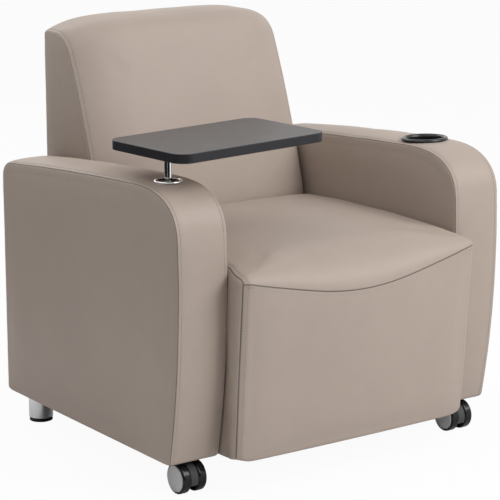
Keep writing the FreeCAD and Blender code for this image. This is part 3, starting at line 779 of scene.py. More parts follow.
@dataclass
class Upholstery:
    """A sewn cover over foam, drawn over one outline from the front toe, over the top, to the rear heel."""

    name: str
    replaces: tuple[str, ...]
    centre_x: float
    half_width: float
    foot: float = 0.065
    foot_band: float = 0.003
    side_draw: float = 0.003
    rim_steps: tuple[float, ...] = (0.0, 0.0013, 0.003, 0.006, 0.011, 0.018)
    edge_steps: tuple[float, ...] = (0.0, 0.0013, 0.003, 0.0055, 0.008, 0.011, 0.0145, 0.020)
    knee_runs: tuple[int, int] = (1, 3)
    knee_part: float = 0.5
    seam_way: float = 1.0
    stitch_row: float = 0.008
    stitch_pitch: float = 0.0062
    stitch_half: Spot = (0.0022, 0.00062, 0.00062)
    stitch_lift: float = 0.00012
    fill: float = 0.9
    swell: float = 0.004
    sewn_gap: float = 0.0008
    seam_depth: float = 0.0012
    seam_width: float = 0.0011
    seam_flat: float = 0.004
    # Added to the seam distance, so the leather's painted seam shade is narrower and fainter.
    seam_veil: float = 0.0
    row_depth: float = 0.0001
    row_width: float = 0.0022
    unevenness: float = 0.0005
    uneven_wave: float = 0.11
    pucker: float = 0.00018
    pucker_wave: float = 0.021
    pucker_reach: float = 0.030
    furthest: float = 0.05
    tuck: float = 0.008
    hem: float = 0.004
    hem_step: float = 0.0022

    def outline(self, way: float, inset: float = 0.0) -> list[Run]:
        """The outline's runs at a place across the cover, from -1 to 1, drawn in by an inset.

        Args:
            way: the place across the cover.
            inset: how far the outline is drawn in.

        Returns:
            The runs, from the toe to the heel.
        """
        raise NotImplementedError

    def ways(self) -> Array:
        """Places of the mesh lines across the cover, from -1 to 1."""
        raise NotImplementedError

    def stations(self) -> list[Array]:
        """Places of the mesh lines along each run, from 0 to 1."""
        raise NotImplementedError

    def knees(self) -> tuple[int, int]:
        """The stations on two runs where the side panel's front ends and its rear starts.

        Returns:
            The numbers of the two stations.
        """
        counts = [len(part) - 1 for part in self.stations()]
        first, second = (sum(counts[:run]) + int(counts[run] * self.knee_part) for run in self.knee_runs)
        return first, second

    def seams(self) -> list[Array]:
        """Seam lines of the cover: one round each side panel."""
        return [self.line_at(-self.seam_way), self.line_at(self.seam_way)]

    def rows(self) -> list[Array]:
        """Rows of topstitches beside the seams."""
        way = self.seam_way - self.stitch_row / self.half_width
        return [self.line_at(-way), self.line_at(way)]

    def hidden(self, places: Array) -> Array:
        """Whether a place lies at the foot or against a neighbour, where the cover can't swell."""
        return places[:, 2] < self.foot + self.foot_band

    def line(self, way: float, inset: float = 0.0) -> Array:
        """One line of the outline as places in the (y, z) plane."""
        points = [run(part) for run, part in zip(self.outline(way, inset), self.stations())]
        return np.concatenate([points[0]] + [part[1:] for part in points[1:]])

    def line_at(self, way: float, inset: float = 0.0, x: Optional[float] = None) -> Array:
        """One line of the outline as places in space.

        Args:
            way: the place across the cover.
            inset: how far the outline is drawn in.
            x: the place along X, if not by the way.

        Returns:
            The places.
        """
        flat = self.line(way, inset)
        across = self.centre_x + way * (self.half_width - self.side_draw) if x is None else x
        return np.column_stack([np.full(len(flat), across), flat])

    def side_panel(self, sign: int) -> list[Piece]:
        """One side panel: a rolled rim and a flat field.

        Args:
            sign: -1 for the left side, 1 for the right.

        Returns:
            The field, and the rim where there is one.
        """
        rings = []
        depth = max(self.rim_steps[-1], 0.001)
        for step in self.rim_steps:
            roll = self.side_draw * (1 - step / depth) ** 2
            rings.append(self.line_at(float(sign), step, self.centre_x + sign * (self.half_width - roll)))
        first, second = self.knees()
        edge = rings[-1]
        top = edge[first:second + 1]
        foot = edge[0] + share(top)[:, None] * (edge[-1] - edge[0])
        made = [panel(patch(edge[:first + 1], top, edge[second:][::-1], foot))]
        if len(rings) > 1:
            made.append(panel(np.stack(rings, axis=1)))
        return made

    def build(self) -> Piece:
        """Make the cover, fill it, sew it and dress it.

        Returns:
            The finished cover.
        """
        strip = panel(np.stack([self.line_at(way) for way in self.ways()], axis=1))
        piece = join([strip, *self.side_panel(-1), *self.side_panel(1)], self.name)
        edit(piece)
        bpy.ops.mesh.remove_doubles(threshold=0.00002)
        done()
        move_corners(piece, self.settle(corners(piece)))
        edit(piece, "EDGE")
        bpy.ops.mesh.select_all(action="DESELECT")
        bpy.ops.mesh.select_non_manifold(extend=False)
        bpy.ops.mesh.edge_face_add()
        bpy.ops.transform.edge_crease(value=1.0)
        bpy.ops.mesh.select_mode(type="FACE")
        middle, half = self.sole()
        bpy.ops.mesh.extrude_region_move()
        bpy.ops.transform.resize(value=(*(1 - self.hem / half), 1.0), center_override=(*middle, self.foot))
        bpy.ops.transform.edge_crease(value=1.0)
        bpy.ops.mesh.extrude_region_move(TRANSFORM_OT_translate={"value": (0.0, 0.0, self.hem_step)})
        bpy.ops.transform.edge_crease(value=1.0)
        bpy.ops.mesh.quads_convert_to_tris(ngon_method="BEAUTY")
        bpy.ops.mesh.select_all(action="SELECT")
        bpy.ops.mesh.normals_make_consistent(inside=False)
        done()
        seams, rows = (Sewing([self.settle(line) for line in lines]) for lines in (self.seams(), self.rows()))
        self.inflate(piece, seams)
        apply(piece, "SUBSURF", levels=1, render_levels=1)
        self.cut_pockets(piece)
        self.crease_shade(piece, seams, rows)
        activate(piece)
        bpy.ops.object.shade_smooth()
        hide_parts(*self.replaces)
        return hand_in(piece, TAUPE)

    def sole(self) -> tuple[Array, Array]:
        """Middle and half size of the underside in plan.

        Returns:
            The middle and the half size, along X and Y.
        """
        flat = self.line(0.0)
        toe, heel = flat[0, 0], flat[-1, 0]
        return np.array([self.centre_x, (toe + heel) / 2]), np.array([self.half_width, (heel - toe) / 2])

    def settle(self, places: Array) -> Array:
        """Roll the lower edge under, as leather that is pulled round to the underside.

        Args:
            places: places on the cover.

        Returns:
            The places, moved.
        """
        low = np.clip((self.foot + self.tuck - places[:, 2]) / self.tuck, 0.0, 1.0)
        inward = self.tuck * (1 - np.sqrt(1 - low ** 2))
        middle, half = self.sole()
        moved = places.copy()
        moved[:, :2] -= (places[:, :2] - middle) / half * inward[:, None]
        return moved

    def inflate(self, piece: Piece, seams: Sewing) -> None:
        """Swell the cover between its seams with a short cloth simulation; it can't sink into the filling.

        Args:
            piece: the cover.
            seams: lines that stay in place.
        """
        start, outward = corners(piece), normals(piece)
        gap, _ = seams.from_places(start)
        held = (gap < self.sewn_gap) | self.hidden(start)
        group = piece.vertex_groups.new(name="sewn")
        group.add([int(index) for index in np.nonzero(held)[0]], 1.0, "REPLACE")
        activate(piece)
        cloth = piece.modifiers.new("filling", "CLOTH")
        for key, value in FILLING.items():
            setattr(cloth.settings, key, value)
        cloth.settings.vertex_group_mass = group.name
        cloth.settings.effector_weights.gravity = 0.0
        cloth.collision_settings.use_collision = False
        cloth.point_cache.frame_start = 1
        cloth.point_cache.frame_end = FILLING_FRAMES
        for number in range(1, FILLING_FRAMES + 1):
            bpy.context.scene.frame_set(number)
        bpy.ops.object.modifier_apply(modifier=cloth.name)
        bpy.context.scene.frame_set(1)
        shift = corners(piece) - start
        shift -= outward * np.minimum((shift * outward).sum(1), 0.0)[:, None]
        far = np.linalg.norm(shift, axis=1)
        soft = self.swell * np.tanh(far / self.swell) / np.maximum(far, 1e-9)
        move_corners(piece, start + shift * soft[:, None] * (~held)[:, None])
        piece.vertex_groups.clear()
        log.info("%s: swelled by %.1f mm at most before the cap", self.name, far.max() * 1000)

    def cut_pockets(self, piece: Piece) -> None:
        """Cut openings in the cover, where it has any."""

    def crease_shade(self, piece: Piece, seams: Sewing, rows: Sewing) -> None:
        """Press the seams and stitch rows in, add a little unevenness, and keep the distances for the finish.

        Args:
            piece: the cover.
            seams: its seams.
            rows: its stitch rows.
        """
        places, outward = corners(piece), normals(piece)
        gap, _ = seams.from_places(places)
        row_gap, run = rows.from_places(places)
        press = -self.seam_depth * np.exp(-(gap / self.seam_width) ** 2)
        press -= self.row_depth * np.exp(-(row_gap / self.row_width) ** 2)
        loose = (~self.hidden(places)) * np.clip(gap / self.seam_flat, 0.0, 1.0)
        press += loose * self.unevenness * ripple(places, self.uneven_wave)
        press += loose * self.pucker * ripple(places, self.pucker_wave) * np.exp(-gap / self.pucker_reach)
        move_corners(piece, places + outward * press[:, None])
        # The seam distance, with seam_veil added, sets where the leather's painted seam shade falls.
        for name, values in (("seam", np.minimum(gap + self.seam_veil, self.furthest)),
                             ("row", np.minimum(row_gap, self.furthest)), ("run", run / self.stitch_pitch)):
            made = piece.data.attributes.new(name, "FLOAT", "POINT")
            made.data.foreach_set("value", values.astype(np.float32))

    def stitch(self, piece: Piece) -> Piece:
        """Sew the stitch rows as one piece of thread.

        Args:
            piece: the finished cover.

        Returns:
            All stitches of the cover.
        """
        deselect()
        bpy.ops.mesh.primitive_uv_sphere_add(segments=6, ring_count=5, radius=1.0)
        made = bpy.context.object
        edit(made)
        bpy.ops.transform.rotate(value=math.pi / 2, orient_axis="Y", center_override=(0.0, 0.0, 0.0))
        bpy.ops.transform.resize(value=self.stitch_half)
        done()
        shape = corners(made)
        faces = [tuple(face.vertices) for face in made.data.polygons]
        skin = BVHTree.FromObject(piece, bpy.context.evaluated_depsgraph_get())
        places, joints = [], []
        for line in (self.settle(row) for row in self.rows()):
            run = measure(line)
            for middle in (np.arange(int(run[-1] / self.stitch_pitch)) + 0.5) * self.stitch_pitch:
                spot, ahead = (np.array([np.interp(at, run, line[:, axis]) for axis in range(3)])
                               for at in (middle, middle + 0.001))
                surface, up, _, _ = skin.find_nearest(Vector(spot))
                lead = Vector(ahead - spot)
                lead = (lead - up * lead.dot(up)).normalized()
                turn = np.array([lead, up.cross(lead), up])
                joints += [tuple(len(places) * len(shape) + corner for corner in face) for face in faces]
                places.append(shape @ turn + np.array(surface + up * self.stitch_lift))
        mesh = bpy.data.meshes.new(self.name + "_stitches")
        mesh.from_pydata(np.concatenate(places).tolist(), [], joints)
        bpy.data.objects.remove(made)
        thread = bpy.data.objects.new(self.name + "_stitches", mesh)
        bpy.context.scene.collection.objects.link(thread)
        activate(thread)
        bpy.ops.object.shade_smooth()
        return hand_in(thread, THREAD)


@dataclass
class Arm(Upholstery):
    """An arm: flat side panels, and a boxing strip up the front, over the top and down the rear."""

    front: float = -0.3095
    rear: float = 0.333
    front_height: float = 0.591
    rear_height: float = 0.555
    nose: float = 0.1395
    nose_rise: float = 0.0995
    nose_power: float = 2.6
    rear_corner: float = 0.030
    toe_in: float = 0.032
    belly_in: float = 0.003
    top_rise: float = 0.003
    mid_rise: float = 0.003
    crown: float = 0.005
    pocket: Spot = (0.0, 0.0, 0.0)
    pocket_depth: float = 0.24

    def outline(self, way: float, inset: float = 0.0) -> list[Run]:
        """Battered front, round nose, sloping crowned top, round rear corner and upright rear."""
        crown = self.crown * way ** 4
        front, rear = self.front + inset, self.rear - inset
        corner = max(self.rear_corner - inset, 0.004)
        top_front, top_rear = self.front_height - inset - crown, self.rear_height - inset - crown
        toe, brow = (front + self.toe_in, self.foot), (front, self.front_height - self.crown - self.nose_rise)
        belly = (front + self.belly_in, (toe[1] + brow[1]) / 2)
        crest, shoulder = (self.front + self.nose, top_front), (rear - corner, top_rear)
        rise = self.top_rise + self.mid_rise * (1 - way ** 4)
        ridge = ((crest[0] + shoulder[0]) / 2, (crest[1] + shoulder[1]) / 2 + rise)
        nape = (rear, top_rear - corner)
        return [bow(toe, belly, brow), quarter(brow, (crest[0], brow[1]), crest, self.nose_power),
                bow(crest, ridge, shoulder),
                quarter(shoulder, (shoulder[0], nape[1]), nape), straight(nape, (rear, self.foot))]

    def ways(self) -> Array:
        """Close lines beside the seams and wider ones over the middle."""
        return mirrored_ways([*self.edge_steps, 0.029, 0.038, 0.048, self.half_width], self.half_width)

    def stations(self) -> list[Array]:
        """Even lines along each run, closer at the foot."""
        front = from_foot(self.front_height - self.crown - self.nose_rise - self.foot, 38)
        rear = from_foot(self.rear_height - self.rear_corner - self.foot, 46)
        return [front, *(np.linspace(0, 1, count + 1) for count in (24, 46, 8)), 1 - rear[::-1]]

    def cut_pockets(self, piece: Piece) -> None:
        """Cut the round hole that the cup or the post's socket drops into."""
        place_y, radius, lean = self.pocket
        deselect()
        bpy.ops.mesh.primitive_cylinder_add(vertices=72, radius=radius, depth=self.pocket_depth,
                                            location=(self.centre_x, place_y, self.front_height),
                                            rotation=(lean, 0.0, 0.0))
        cut(piece, "FAST")


@dataclass
class Seat(Upholstery):
    """The seat: a crowned top that rolls over the front, a front panel and side panels round the corners."""

    front: float = -0.373
    back_front: float = 0.1377
    back_draw: float = 0.030
    bow_in: float = 0.004
    corner_radius: float = 0.024
    toe_in: float = 0.026
    edge_height: float = 0.442
    crown: float = 0.012
    end_drop: float = 0.012
    front_drop: float = 0.006
    rear_drop: float = 0.010
    roll_middle: float = 0.076
    roll_end: float = 0.007
    roll_stretch: float = 1.6
    seam_way: float = 0.975
    knee_part: float = 0.0
    rim_steps: tuple[float, ...] = (0.0,)
    side_draw: float = 0.0
    arc_row: float = 0.006
    arc_points: int = 61
    corner_bulge: float = 0.013
    bulge_start: float = -0.304
    bulge_run: float = 0.045
    rounded: tuple[float, float] = (-0.290, -0.350)
    corner_lift: float = 0.008
    lift_height: float = 0.09
    lift_side: float = 0.236
    corner_drop: float = 0.006
    drop_heights: tuple[float, float] = (0.32, 0.43)
    drop_side: float = 0.12
    arm_front: float = -0.300

    def fullness(self, along: Array) -> Array:
        """How far the sides stand out in front of the arms, by the place along Y."""
        way = np.clip((self.bulge_start - along) / self.bulge_run, 0.0, 1.0)
        return self.corner_bulge * np.sin(way * math.pi / 2)

    def settle(self, places: Array) -> Array:
        """Fill the front out beside the arms, and round its upper and lower corners off."""
        moved = super().settle(places)
        moved[:, 0] += self.fullness(places[:, 1]) * np.clip(places[:, 0] / self.half_width, -1.0, 1.0) ** 3
        side, ahead = np.abs(places[:, 0]), ease(places[:, 1], *self.rounded)
        low = 1 - ease(places[:, 2], self.foot, self.foot + self.lift_height)
        low *= ease(side, self.lift_side, self.half_width)
        high = ease(places[:, 2], *self.drop_heights) * ease(side, self.drop_side, self.half_width)
        moved[:, 2] += ahead * (self.corner_lift * low - self.corner_drop * high)
        return moved

    def outline(self, way: float, inset: float = 0.0) -> list[Run]:
        """Upright front, rolled nose, crowned top and upright rear."""
        part = abs(way)
        edge = max(0.0, 1 - (1 - part) * self.half_width / self.corner_radius)
        turned_in = 1 - math.sqrt(max(0.0, 1 - edge ** 2))
        front = self.front + self.bow_in * part ** 2 + self.corner_radius * turned_in + inset
        rear = self.back_front + self.back_draw * part ** 6 - inset
        top = self.edge_height + self.crown * (1 - part ** 4) - self.end_drop * turned_in - inset
        nose = self.roll_middle + (self.roll_end - self.roll_middle) * part ** 2
        lip = (front, top - self.front_drop - nose)
        crest = (front + self.roll_stretch * nose, lip[1] + nose)
        tail = (rear, top - self.rear_drop)
        peak = ((crest[0] + tail[0]) / 2, top)
        return [straight((front + self.toe_in, self.foot), lip), quarter(lip, (crest[0], lip[1]), crest),
                bow(crest, peak, tail), straight(tail, (rear, self.foot))]

    def ways(self) -> Array:
        """Close lines on both sides of the corner seams."""
        seam = self.seam_way * self.half_width
        inner = [seam - step for step in self.edge_steps]
        outer = [seam + 0.0013, seam + 0.003, *(self.half_width - step for step in (0.0021, 0.0008, 0.0002))]
        middle = np.linspace(inner[-1], 0.0, 20)[1:]
        half = np.array([self.half_width, *outer[::-1], *inner, *middle])
        return np.concatenate([-half, half[::-1][1:]]) / self.half_width

    def stations(self) -> list[Array]:
        """Close lines on both sides of the curved front seam."""
        rise = self.edge_height + self.crown - self.front_drop - self.roll_middle - self.foot
        roll = self.roll_middle * (1 + self.roll_stretch) * math.pi / 4
        below = 1 - np.array([0.013, 0.009, 0.006, 0.003, 0.0013, 0.0]) / rise
        above = np.array([0.0, 0.0013, 0.003, 0.006, 0.011]) / roll
        rear = from_foot(self.edge_height - self.rear_drop - self.foot, 27)
        return [np.concatenate([from_foot(rise, 22)[:-1], below]),
                np.concatenate([above, np.linspace(above[-1], 1, 17)[1:]]),
                np.linspace(0, 1, 35), 1 - rear[::-1]]

    def seams(self) -> list[Array]:
        """Both corner seams, and the curved seam between the top and the front panel."""
        return [*super().seams(), self.arc(0.0)]

    def arc(self, drop: float) -> Array:
        """The curved front seam, or a line at a drop below it.

        Args:
            drop: how far below the seam.

        Returns:
            Places along the line.
        """
        lip = len(self.stations()[0]) - 1
        lower = np.array([0.0, drop * self.toe_in / 0.3, -drop])
        return np.array([self.line_at(way)[lip] + lower
                         for way in np.linspace(-self.seam_way, self.seam_way, self.arc_points)])

    def rows(self) -> list[Array]:
        """Rows on the top and front panels beside the corner seams, and under the curved seam."""
        return [*super().rows(), self.arc(self.arc_row)]

    def hidden(self, places: Array) -> Array:
        """The foot, the rear, and the sides between the arms."""
        between = (np.abs(places[:, 0]) > self.half_width - 0.004) & (places[:, 1] > self.arm_front)
        return super().hidden(places) | between | (places[:, 1] > self.back_front - 0.002)


@dataclass
class Back(Upholstery):
    """The back: a leaning, crowned front that rolls over an arched top, flat sides and an upright rear."""

    low_front: float = 0.138
    crest: float = 0.299
    seat_height: float = 0.442
    rear: float = 0.373
    top: float = 0.828
    arch: float = 0.026
    draw: float = 0.030
    lean: float = 23.0
    top_radius: float = 0.054
    end_round: float = 0.016
    rear_radius: float = 0.008
    knee_runs: tuple[int, int] = (2, 4)
    # A wider seam_veil makes the back's painted seam shade fainter.
    seam_veil: float = 0.0008
    swell: float = 0.0022

    def outline(self, way: float, inset: float = 0.0) -> list[Run]:
        """Upright below the seat, leaning and full above it, round over the top, upright behind."""
        part = abs(way)
        draw = self.draw * part ** 6
        rear, top = self.rear - inset, self.top - self.arch * part ** 5 - inset
        lean = math.radians(self.lean)
        more = self.end_round * part ** 4
        round_front, round_rear = self.top_radius + more - inset, max(self.rear_radius - inset, 0.003)
        hub = np.array([self.crest + draw + more * math.tan(math.pi / 4 - lean / 2), top - round_front])
        high, over, crest_front = (hub + round_front * np.array([-math.cos(turn), math.sin(turn)])
                                   for turn in (lean, math.pi / 4 + lean / 2, math.pi / 2))
        low = np.array([self.low_front + draw + inset, self.seat_height])
        rise = high - low
        bulge = math.tan((lean - math.atan2(rise[0], rise[1])) / 2) / 2
        lumbar = (low + high) / 2 + bulge * np.array([-rise[1], rise[0]])
        crest_rear, nape = (rear - round_rear, top), (rear, top - round_rear)
        return [straight((low[0], self.foot), low), bow(low, lumbar, high), bow(high, over, crest_front),
                straight(crest_front, crest_rear), quarter(crest_rear, (crest_rear[0], nape[1]), nape),
                straight(nape, (rear, self.foot))]

    def ways(self) -> Array:
        """Close lines beside the seams and wider ones over the middle."""
        inner = np.linspace(self.edge_steps[-1], self.half_width, 22)[1:]
        return mirrored_ways([*self.edge_steps, *inner], self.half_width)

    def stations(self) -> list[Array]:
        """Even lines along each run, closer at the foot."""
        front = from_foot(self.seat_height - self.foot, 18)
        rear = from_foot(self.top - self.rear_radius - self.foot, 58)
        return [front, *(np.linspace(0, 1, count + 1) for count in (36, 12, 6, 4)), 1 - rear[::-1]]

    def hidden(self, places: Array) -> Array:
        """The foot and the front below the seat."""
        below = (places[:, 2] < self.seat_height) & (places[:, 1] < self.low_front + self.draw + 0.004)
        return super().hidden(places) | below


# Turned pieces

def turned(name: str, centre: Spot, profile: Profile, axis: Axis, sides: int = 64) -> Piece:
    """Turn a profile about an axis, one ring after another.

    Args:
        name: the piece's name.
        centre: the place on the axis that heights count from.
        profile: pairs of radius and height; where the last is not the first, both ends are closed flat.
        axis: the direction that heights run in.
        sides: how many faces go round.

    Returns:
        The closed piece.
    """
    way = Vector(axis.value)
    radius, height = profile[0]
    deselect()
    bpy.ops.mesh.primitive_circle_add(vertices=sides, radius=radius, location=Vector(centre) + way * height,
                                      rotation=Vector((0.0, 0.0, 1.0)).rotation_difference(way).to_euler())
    made = bpy.context.object
    edit(made)
    for (before, low), (after, high) in zip(profile, profile[1:]):
        bpy.ops.mesh.extrude_region_move(TRANSFORM_OT_translate={"value": way * (high - low)})
        grow = after / before
        bpy.ops.transform.resize(value=[1.0 if abs(part) > 0.5 else grow for part in way],
                                 center_override=Vector(centre) + way * high)
    bpy.ops.mesh.select_all(action="SELECT")
    bpy.ops.mesh.remove_doubles(threshold=0.000002)
    if profile[0] != profile[-1]:
        bpy.ops.mesh.select_all(action="DESELECT")
        bpy.ops.mesh.select_mode(type="EDGE")
        bpy.ops.mesh.select_non_manifold(extend=False)
        bpy.ops.mesh.edge_face_add()
        bpy.ops.mesh.select_all(action="SELECT")
    bpy.ops.mesh.normals_make_consistent(inside=False)
    done()
    bpy.ops.object.transform_apply(location=True, rotation=True, scale=True)
    bpy.ops.object.shade_smooth_by_angle(angle=math.radians(40.0))
    return name_piece(made, name)


@dataclass
class PostRing:
    """The chromed ring on the arm where the tablet's post goes in, round a black funnel."""

    place: Spot = (-ARM_X, -0.197, 0.5888)
    ring: Profile = (
        (0.0266, 0.0), (0.0270, 0.0016), (0.0265, 0.0030), (0.0254, 0.0039), (0.0240, 0.0042), (0.0226, 0.0037),
        (0.0216, 0.0025), (0.0211, 0.0008), (0.0211, 0.0), (0.0266, 0.0))
    funnel: Profile = (
        (0.0214, 0.0004), (0.0214, 0.0020), (0.0190, 0.0013), (0.0160, 0.0010), (0.0120, 0.0009),
        (0.0078, 0.0009), (0.0078, 0.0006), (0.0160, 0.0006), (0.0214, 0.0004))

    def build(self) -> None:
        """Turn both pieces and dress them."""
        ring = turned("post_ring", self.place, self.ring, Axis.UP)
        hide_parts("socket_escutcheon")
        hand_in(ring, CHROME)
        hand_in(turned("post_funnel", self.place, self.funnel, Axis.UP), NYLON)


@dataclass
class CupRim:
    """The rolled rim of the cup holder, leaning with the arm's top."""

    place: Spot = (ARM_X, -0.146, 0.5894)
    profile: Profile = (
        (0.0474, -0.0010), (0.0479, 0.0014), (0.0476, 0.0033), (0.0466, 0.0048), (0.0450, 0.0056),
        (0.0430, 0.0058), (0.0410, 0.0054), (0.0394, 0.0043), (0.0384, 0.0026), (0.0379, 0.0008),
        (0.0379, -0.0010), (0.0474, -0.0010))

    def build(self) -> None:
        """Turn the rim and dress it."""
        hand_in(turned("cup_rim", self.place, self.profile, Axis.ARM_TOP, 96), CUP_BLACK)


@dataclass
class HubDiscs:
    """The satin discs on a caster's two wheels, each with a rolled rim."""

    side: Side
    axle_y: float = -0.253
    axle_z: float = 0.030
    face: float = 0.0265
    profile: Profile = (
        (0.0253, -0.0016), (0.0254, 0.0003), (0.0252, 0.0010), (0.0246, 0.0013), (0.0239, 0.0011),
        (0.0235, 0.0005), (0.0229, 0.0006), (0.0200, 0.0012), (0.0150, 0.0017), (0.0090, 0.0020),
        (0.0030, 0.0021))

    def build(self) -> None:
        """Turn one disc for each wheel and dress it."""
        for place, turn in (("outer", self.side.value), ("inner", -self.side.value)):
            axis = Axis.RIGHT if turn > 0 else Axis.LEFT
            centre = (self.side.value * ARM_X + turn * self.face, self.axle_y, self.axle_z)
            disc = turned(f"{self.side.word}_{place}_hub_disc", centre, self.profile, axis, 48)
            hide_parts(f"{self.side.word}_caster_{place}_cap")
            hand_in(disc, HUB_GREY, f"{self.side.word}_{place}_wheel")


# Underside cloth

@dataclass
class UndersideCloth:
    """Black cloth stretched over the underside of one cover, inside its turned hem."""

    name: str
    rests_on: tuple[str, ...]
    across: tuple[float, float]
    along: tuple[float, float]
    height: float = 0.0660
    sag: float = 0.0006
    sag_wave: float = 0.09
    thickness: float = 0.0004
    mesh_size: float = 0.012
    hole_depth: float = 0.02
    holes: tuple[tuple[float, float, float, float], ...] = ()

    def build(self) -> Piece:
        """Lay the cloth, let it sag, cut its holes and dress it.

        Returns:
            The finished sheet.
        """
        width, length = self.across[1] - self.across[0], self.along[1] - self.along[0]
        middle = (sum(self.across) / 2, sum(self.along) / 2)
        deselect()
        bpy.ops.mesh.primitive_grid_add(x_subdivisions=max(8, round(width / self.mesh_size)),
                                        y_subdivisions=max(8, round(length / self.mesh_size)), size=1.0)
        sheet = name_piece(bpy.context.object, self.name)
        edit(sheet)
        bpy.ops.transform.resize(value=(width, length, 1.0), center_override=(0.0, 0.0, 0.0))
        bpy.ops.transform.translate(value=(*middle, self.height))
        done()
        places = corners(sheet)
        part_x = (places[:, 0] - middle[0]) / width * 2
        part_y = (places[:, 1] - middle[1]) / length * 2
        hang = (1 - part_x ** 2) * (1 - part_y ** 2)
        places[:, 2] += hang * (0.35 * self.sag * ripple(places, self.sag_wave) - self.sag)
        move_corners(sheet, places)
        apply(sheet, "SOLIDIFY", thickness=self.thickness, offset=0.0)
        area = width * length
        for x, y, wide, deep in self.holes:
            deselect()
            if wide == deep:
                bpy.ops.mesh.primitive_cylinder_add(vertices=40, radius=wide / 2, depth=self.hole_depth,
                                                    location=(x, y, self.height))
                area -= math.pi * wide * deep / 4
            else:
                bpy.ops.mesh.primitive_cube_add(size=1.0, location=(x, y, self.height),
                                                scale=(wide, deep, self.hole_depth))
                area -= wide * deep
            cut(sheet, "EXACT")
        log.info("%s: %.0f x %.0f mm", self.name, width * 1000, length * 1000)
        return hand_in(sheet, DUST_CLOTH)


# Stage, light and camera

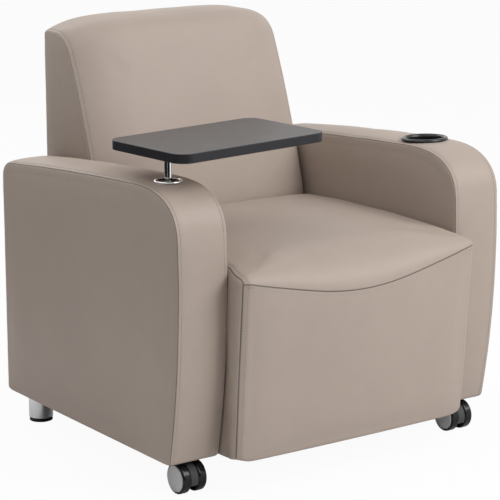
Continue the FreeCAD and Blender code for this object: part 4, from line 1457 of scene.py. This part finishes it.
@dataclass
class Studio:
    """A pale floor, soft light and the camera."""

    target: Vector = field(default_factory=lambda: Vector((-0.0172, -0.0193, 0.3807)))
    azimuth: float = -35.4023
    elevation: float = 13.4052
    distance: float = 4.3665
    lens: float = 155.81
    ambient: float = 0.33
    floor_white: float = 0.95
    floor_size: float = 30.0
    lamp_aim: float = 0.4
    lamps: tuple[tuple[str, Spot, float, float], ...] = (
        ("key_light", (1.5, -2.4, 2.6), 2.4, 88.0), ("top_light", (-1.0, 0.0, 2.9), 2.2, 17.0),
        ("front_fill", (0.8, -3.6, 1.2), 2.0, 4.0), ("rear_light", (-0.6, 3.0, 2.6), 2.4, 44.0),
        ("spark", (0.7, -2.6, 1.7), 0.3, 4.0))
    cards: tuple[tuple[str, Spot, float, float], ...] = (
        ("front_card", (-0.45, -1.75, 0.30), 2.4, 0.6), ("left_card", (-1.62, -0.30, 0.30), 1.8, 0.6),
        ("rear_card", (-0.97, 0.93, 0.30), 1.8, 0.6))

    def build(self) -> None:
        """Set up the whole studio."""
        scene = bpy.context.scene
        scene.view_settings.view_transform = "Standard"
        self.world(scene)
        self.floor()
        for lamp in self.lamps:
            self.lamp(*lamp)
        for card in self.cards:
            self.card(*card)
        self.camera(scene)

    def world(self, scene: bpy.types.Scene) -> None:
        """White to the camera and in reflections, a softer white as light.

        Args:
            scene: what gets the world.
        """
        scene.world = bpy.data.worlds.new("studio")
        board = Board(scene.world)
        camera, glossy, clear = board.rays()
        light, white = (board.add("ShaderNodeBackground", {}, {"Color": WHITE, "Strength": strength})
                        for strength in (self.ambient, 1.0))
        both = board.add("ShaderNodeMixShader", {}, {0: camera.most(glossy).most(clear), 1: light, 2: white})
        board.add("ShaderNodeOutputWorld", {}, {"Surface": both})

    def floor(self) -> None:
        """A wide pale floor that keeps a faint shadow, and stays dark under the chair in reflections."""
        deselect()
        bpy.ops.mesh.primitive_plane_add(size=self.floor_size, location=(0.0, 0.0, 0.0))
        floor = name_piece(bpy.context.object, "studio_floor")
        made = bpy.data.materials.new("studio_floor")
        board = Board(made)
        camera, glossy, clear = board.rays()
        away = board.add("ShaderNodeVectorMath", {"operation": "LENGTH"},
                         {0: board.add("ShaderNodeTexCoord", output="Object")}, "Value")
        seen = camera.most(clear).most(glossy * board.spread(away, 0.50, 0.90))
        matte = board.add("ShaderNodeBsdfDiffuse", {}, {"Color": (0.82, 0.82, 0.82, 1.0)})
        white = board.add("ShaderNodeEmission", {}, {"Color": WHITE, "Strength": 1.0})
        both = board.add("ShaderNodeMixShader", {}, {0: seen * self.floor_white, 1: matte, 2: white})
        board.add("ShaderNodeOutputMaterial", {}, {"Surface": both})
        floor.data.materials.append(made)

    def card(self, name: str, place: Spot, width: float, height: float) -> None:
        """A dark card round the chair that only shows in reflections.

        Args:
            name: its name.
            place: its middle.
            width: its width.
            height: its height.
        """
        deselect()
        bpy.ops.mesh.primitive_plane_add(size=1.0)
        card = name_piece(bpy.context.object, name)
        card.scale = (width, height, 1.0)
        aim(card, place, place[2])
        made = bpy.data.materials.new(name)
        board = Board(made)
        matte = board.add("ShaderNodeBsdfDiffuse", {}, {"Color": (0.02, 0.02, 0.02, 1.0)})
        board.add("ShaderNodeOutputMaterial", {}, {"Surface": matte})
        card.data.materials.append(made)
        card.visible_camera = card.visible_diffuse = card.visible_shadow = card.visible_transmission = False

    def lamp(self, name: str, place: Spot, size: float, power: float) -> None:
        """One soft lamp aimed at the chair.

        Args:
            name: its name.
            place: its middle.
            size: its side.
            power: its watts.
        """
        data = bpy.data.lights.new(name, "AREA")
        data.shape = "SQUARE"
        data.size = size
        data.energy = power
        lamp = bpy.data.objects.new(name, data)
        lamp.visible_camera = False
        aim(lamp, place, self.lamp_aim)
        bpy.context.scene.collection.objects.link(lamp)

    def camera(self, scene: bpy.types.Scene) -> None:
        """The camera at the viewing angle of the photograph.

        Args:
            scene: what gets the camera.
        """
        turn, rise = math.radians(self.azimuth), math.radians(self.elevation)
        back = Vector((math.sin(turn) * math.cos(rise), -math.cos(turn) * math.cos(rise), math.sin(rise)))
        data = bpy.data.cameras.new("camera")
        data.lens = self.lens
        data.sensor_width = 36.0
        data.clip_end = 60.0
        camera = bpy.data.objects.new("camera", data)
        camera.location = self.target + back * self.distance
        camera.rotation_euler = (-back).to_track_quat("-Z", "Y").to_euler()
        scene.collection.objects.link(camera)
        scene.camera = camera


def dress_solids() -> None:
    """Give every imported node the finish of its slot."""
    for row in frame["record"]["subparts"]:
        SLOT_FINISH[row["material_slot"]].dress(frame["nodes"][row["node"]])


def arm(side: Side, pocket: Spot) -> Arm:
    """One arm's cover, with the place, radius and lean of its pocket."""
    name = f"{side.word}_arm"
    return Arm(name, (f"{name}_cover", f"{name}_foam"), side.value * ARM_X, 0.058, pocket=pocket)


def arm_cloth(side: Side) -> UndersideCloth:
    """One arm's underside cloth, with holes for the caster's socket and the leg's plate.

    Args:
        side: the arm's side.

    Returns:
        The cloth.
    """
    name, x = f"{side.word}_arm", side.value * ARM_X
    inner, outer = sorted(side.value * edge for edge in (0.2848, 0.3742))
    return UndersideCloth(f"{name}_cloth", (f"{name}_outer_panel", f"{name}_inner_panel"), (inner, outer),
                          (-0.2560, 0.3150), holes=((x, -0.227, 0.0252, 0.0252), (x, 0.295, 0.0820, 0.0500)))


def main() -> None:
    """Build the chair's looks in order."""
    logging.basicConfig(level=logging.INFO, format="%(message)s")
    Studio().build()
    dress_solids()
    covers: list[Upholstery] = [
        arm(Side.LEFT, (-0.197, 0.0240, 0.0)),
        arm(Side.RIGHT, (-0.146, 0.0425, -0.0405)),
        Seat("seat", ("seat_cover", "seat_foam", "seat_front_foam"), 0.0, 0.271),
        Back("back", ("back_cover", "back_foam"), 0.0, 0.2600),
    ]
    for cover in covers:
        cover.stitch(cover.build())
    PostRing().build()
    CupRim().build()
    for side in Side:
        HubDiscs(side).build()
    cloths = [
        *(arm_cloth(side) for side in Side),
        UndersideCloth("seat_cloth", ("seat_left_rail", "seat_right_rail"), (-0.2560, 0.2560), (-0.2900, 0.1240)),
        UndersideCloth("back_cloth", ("back_frame",), (-0.2410, 0.2410), (0.1720, 0.3590)),
    ]
    sheets = [cloth.build() for cloth in cloths]
    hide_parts("dust_cover")


if __name__ == "__main__":
    main()
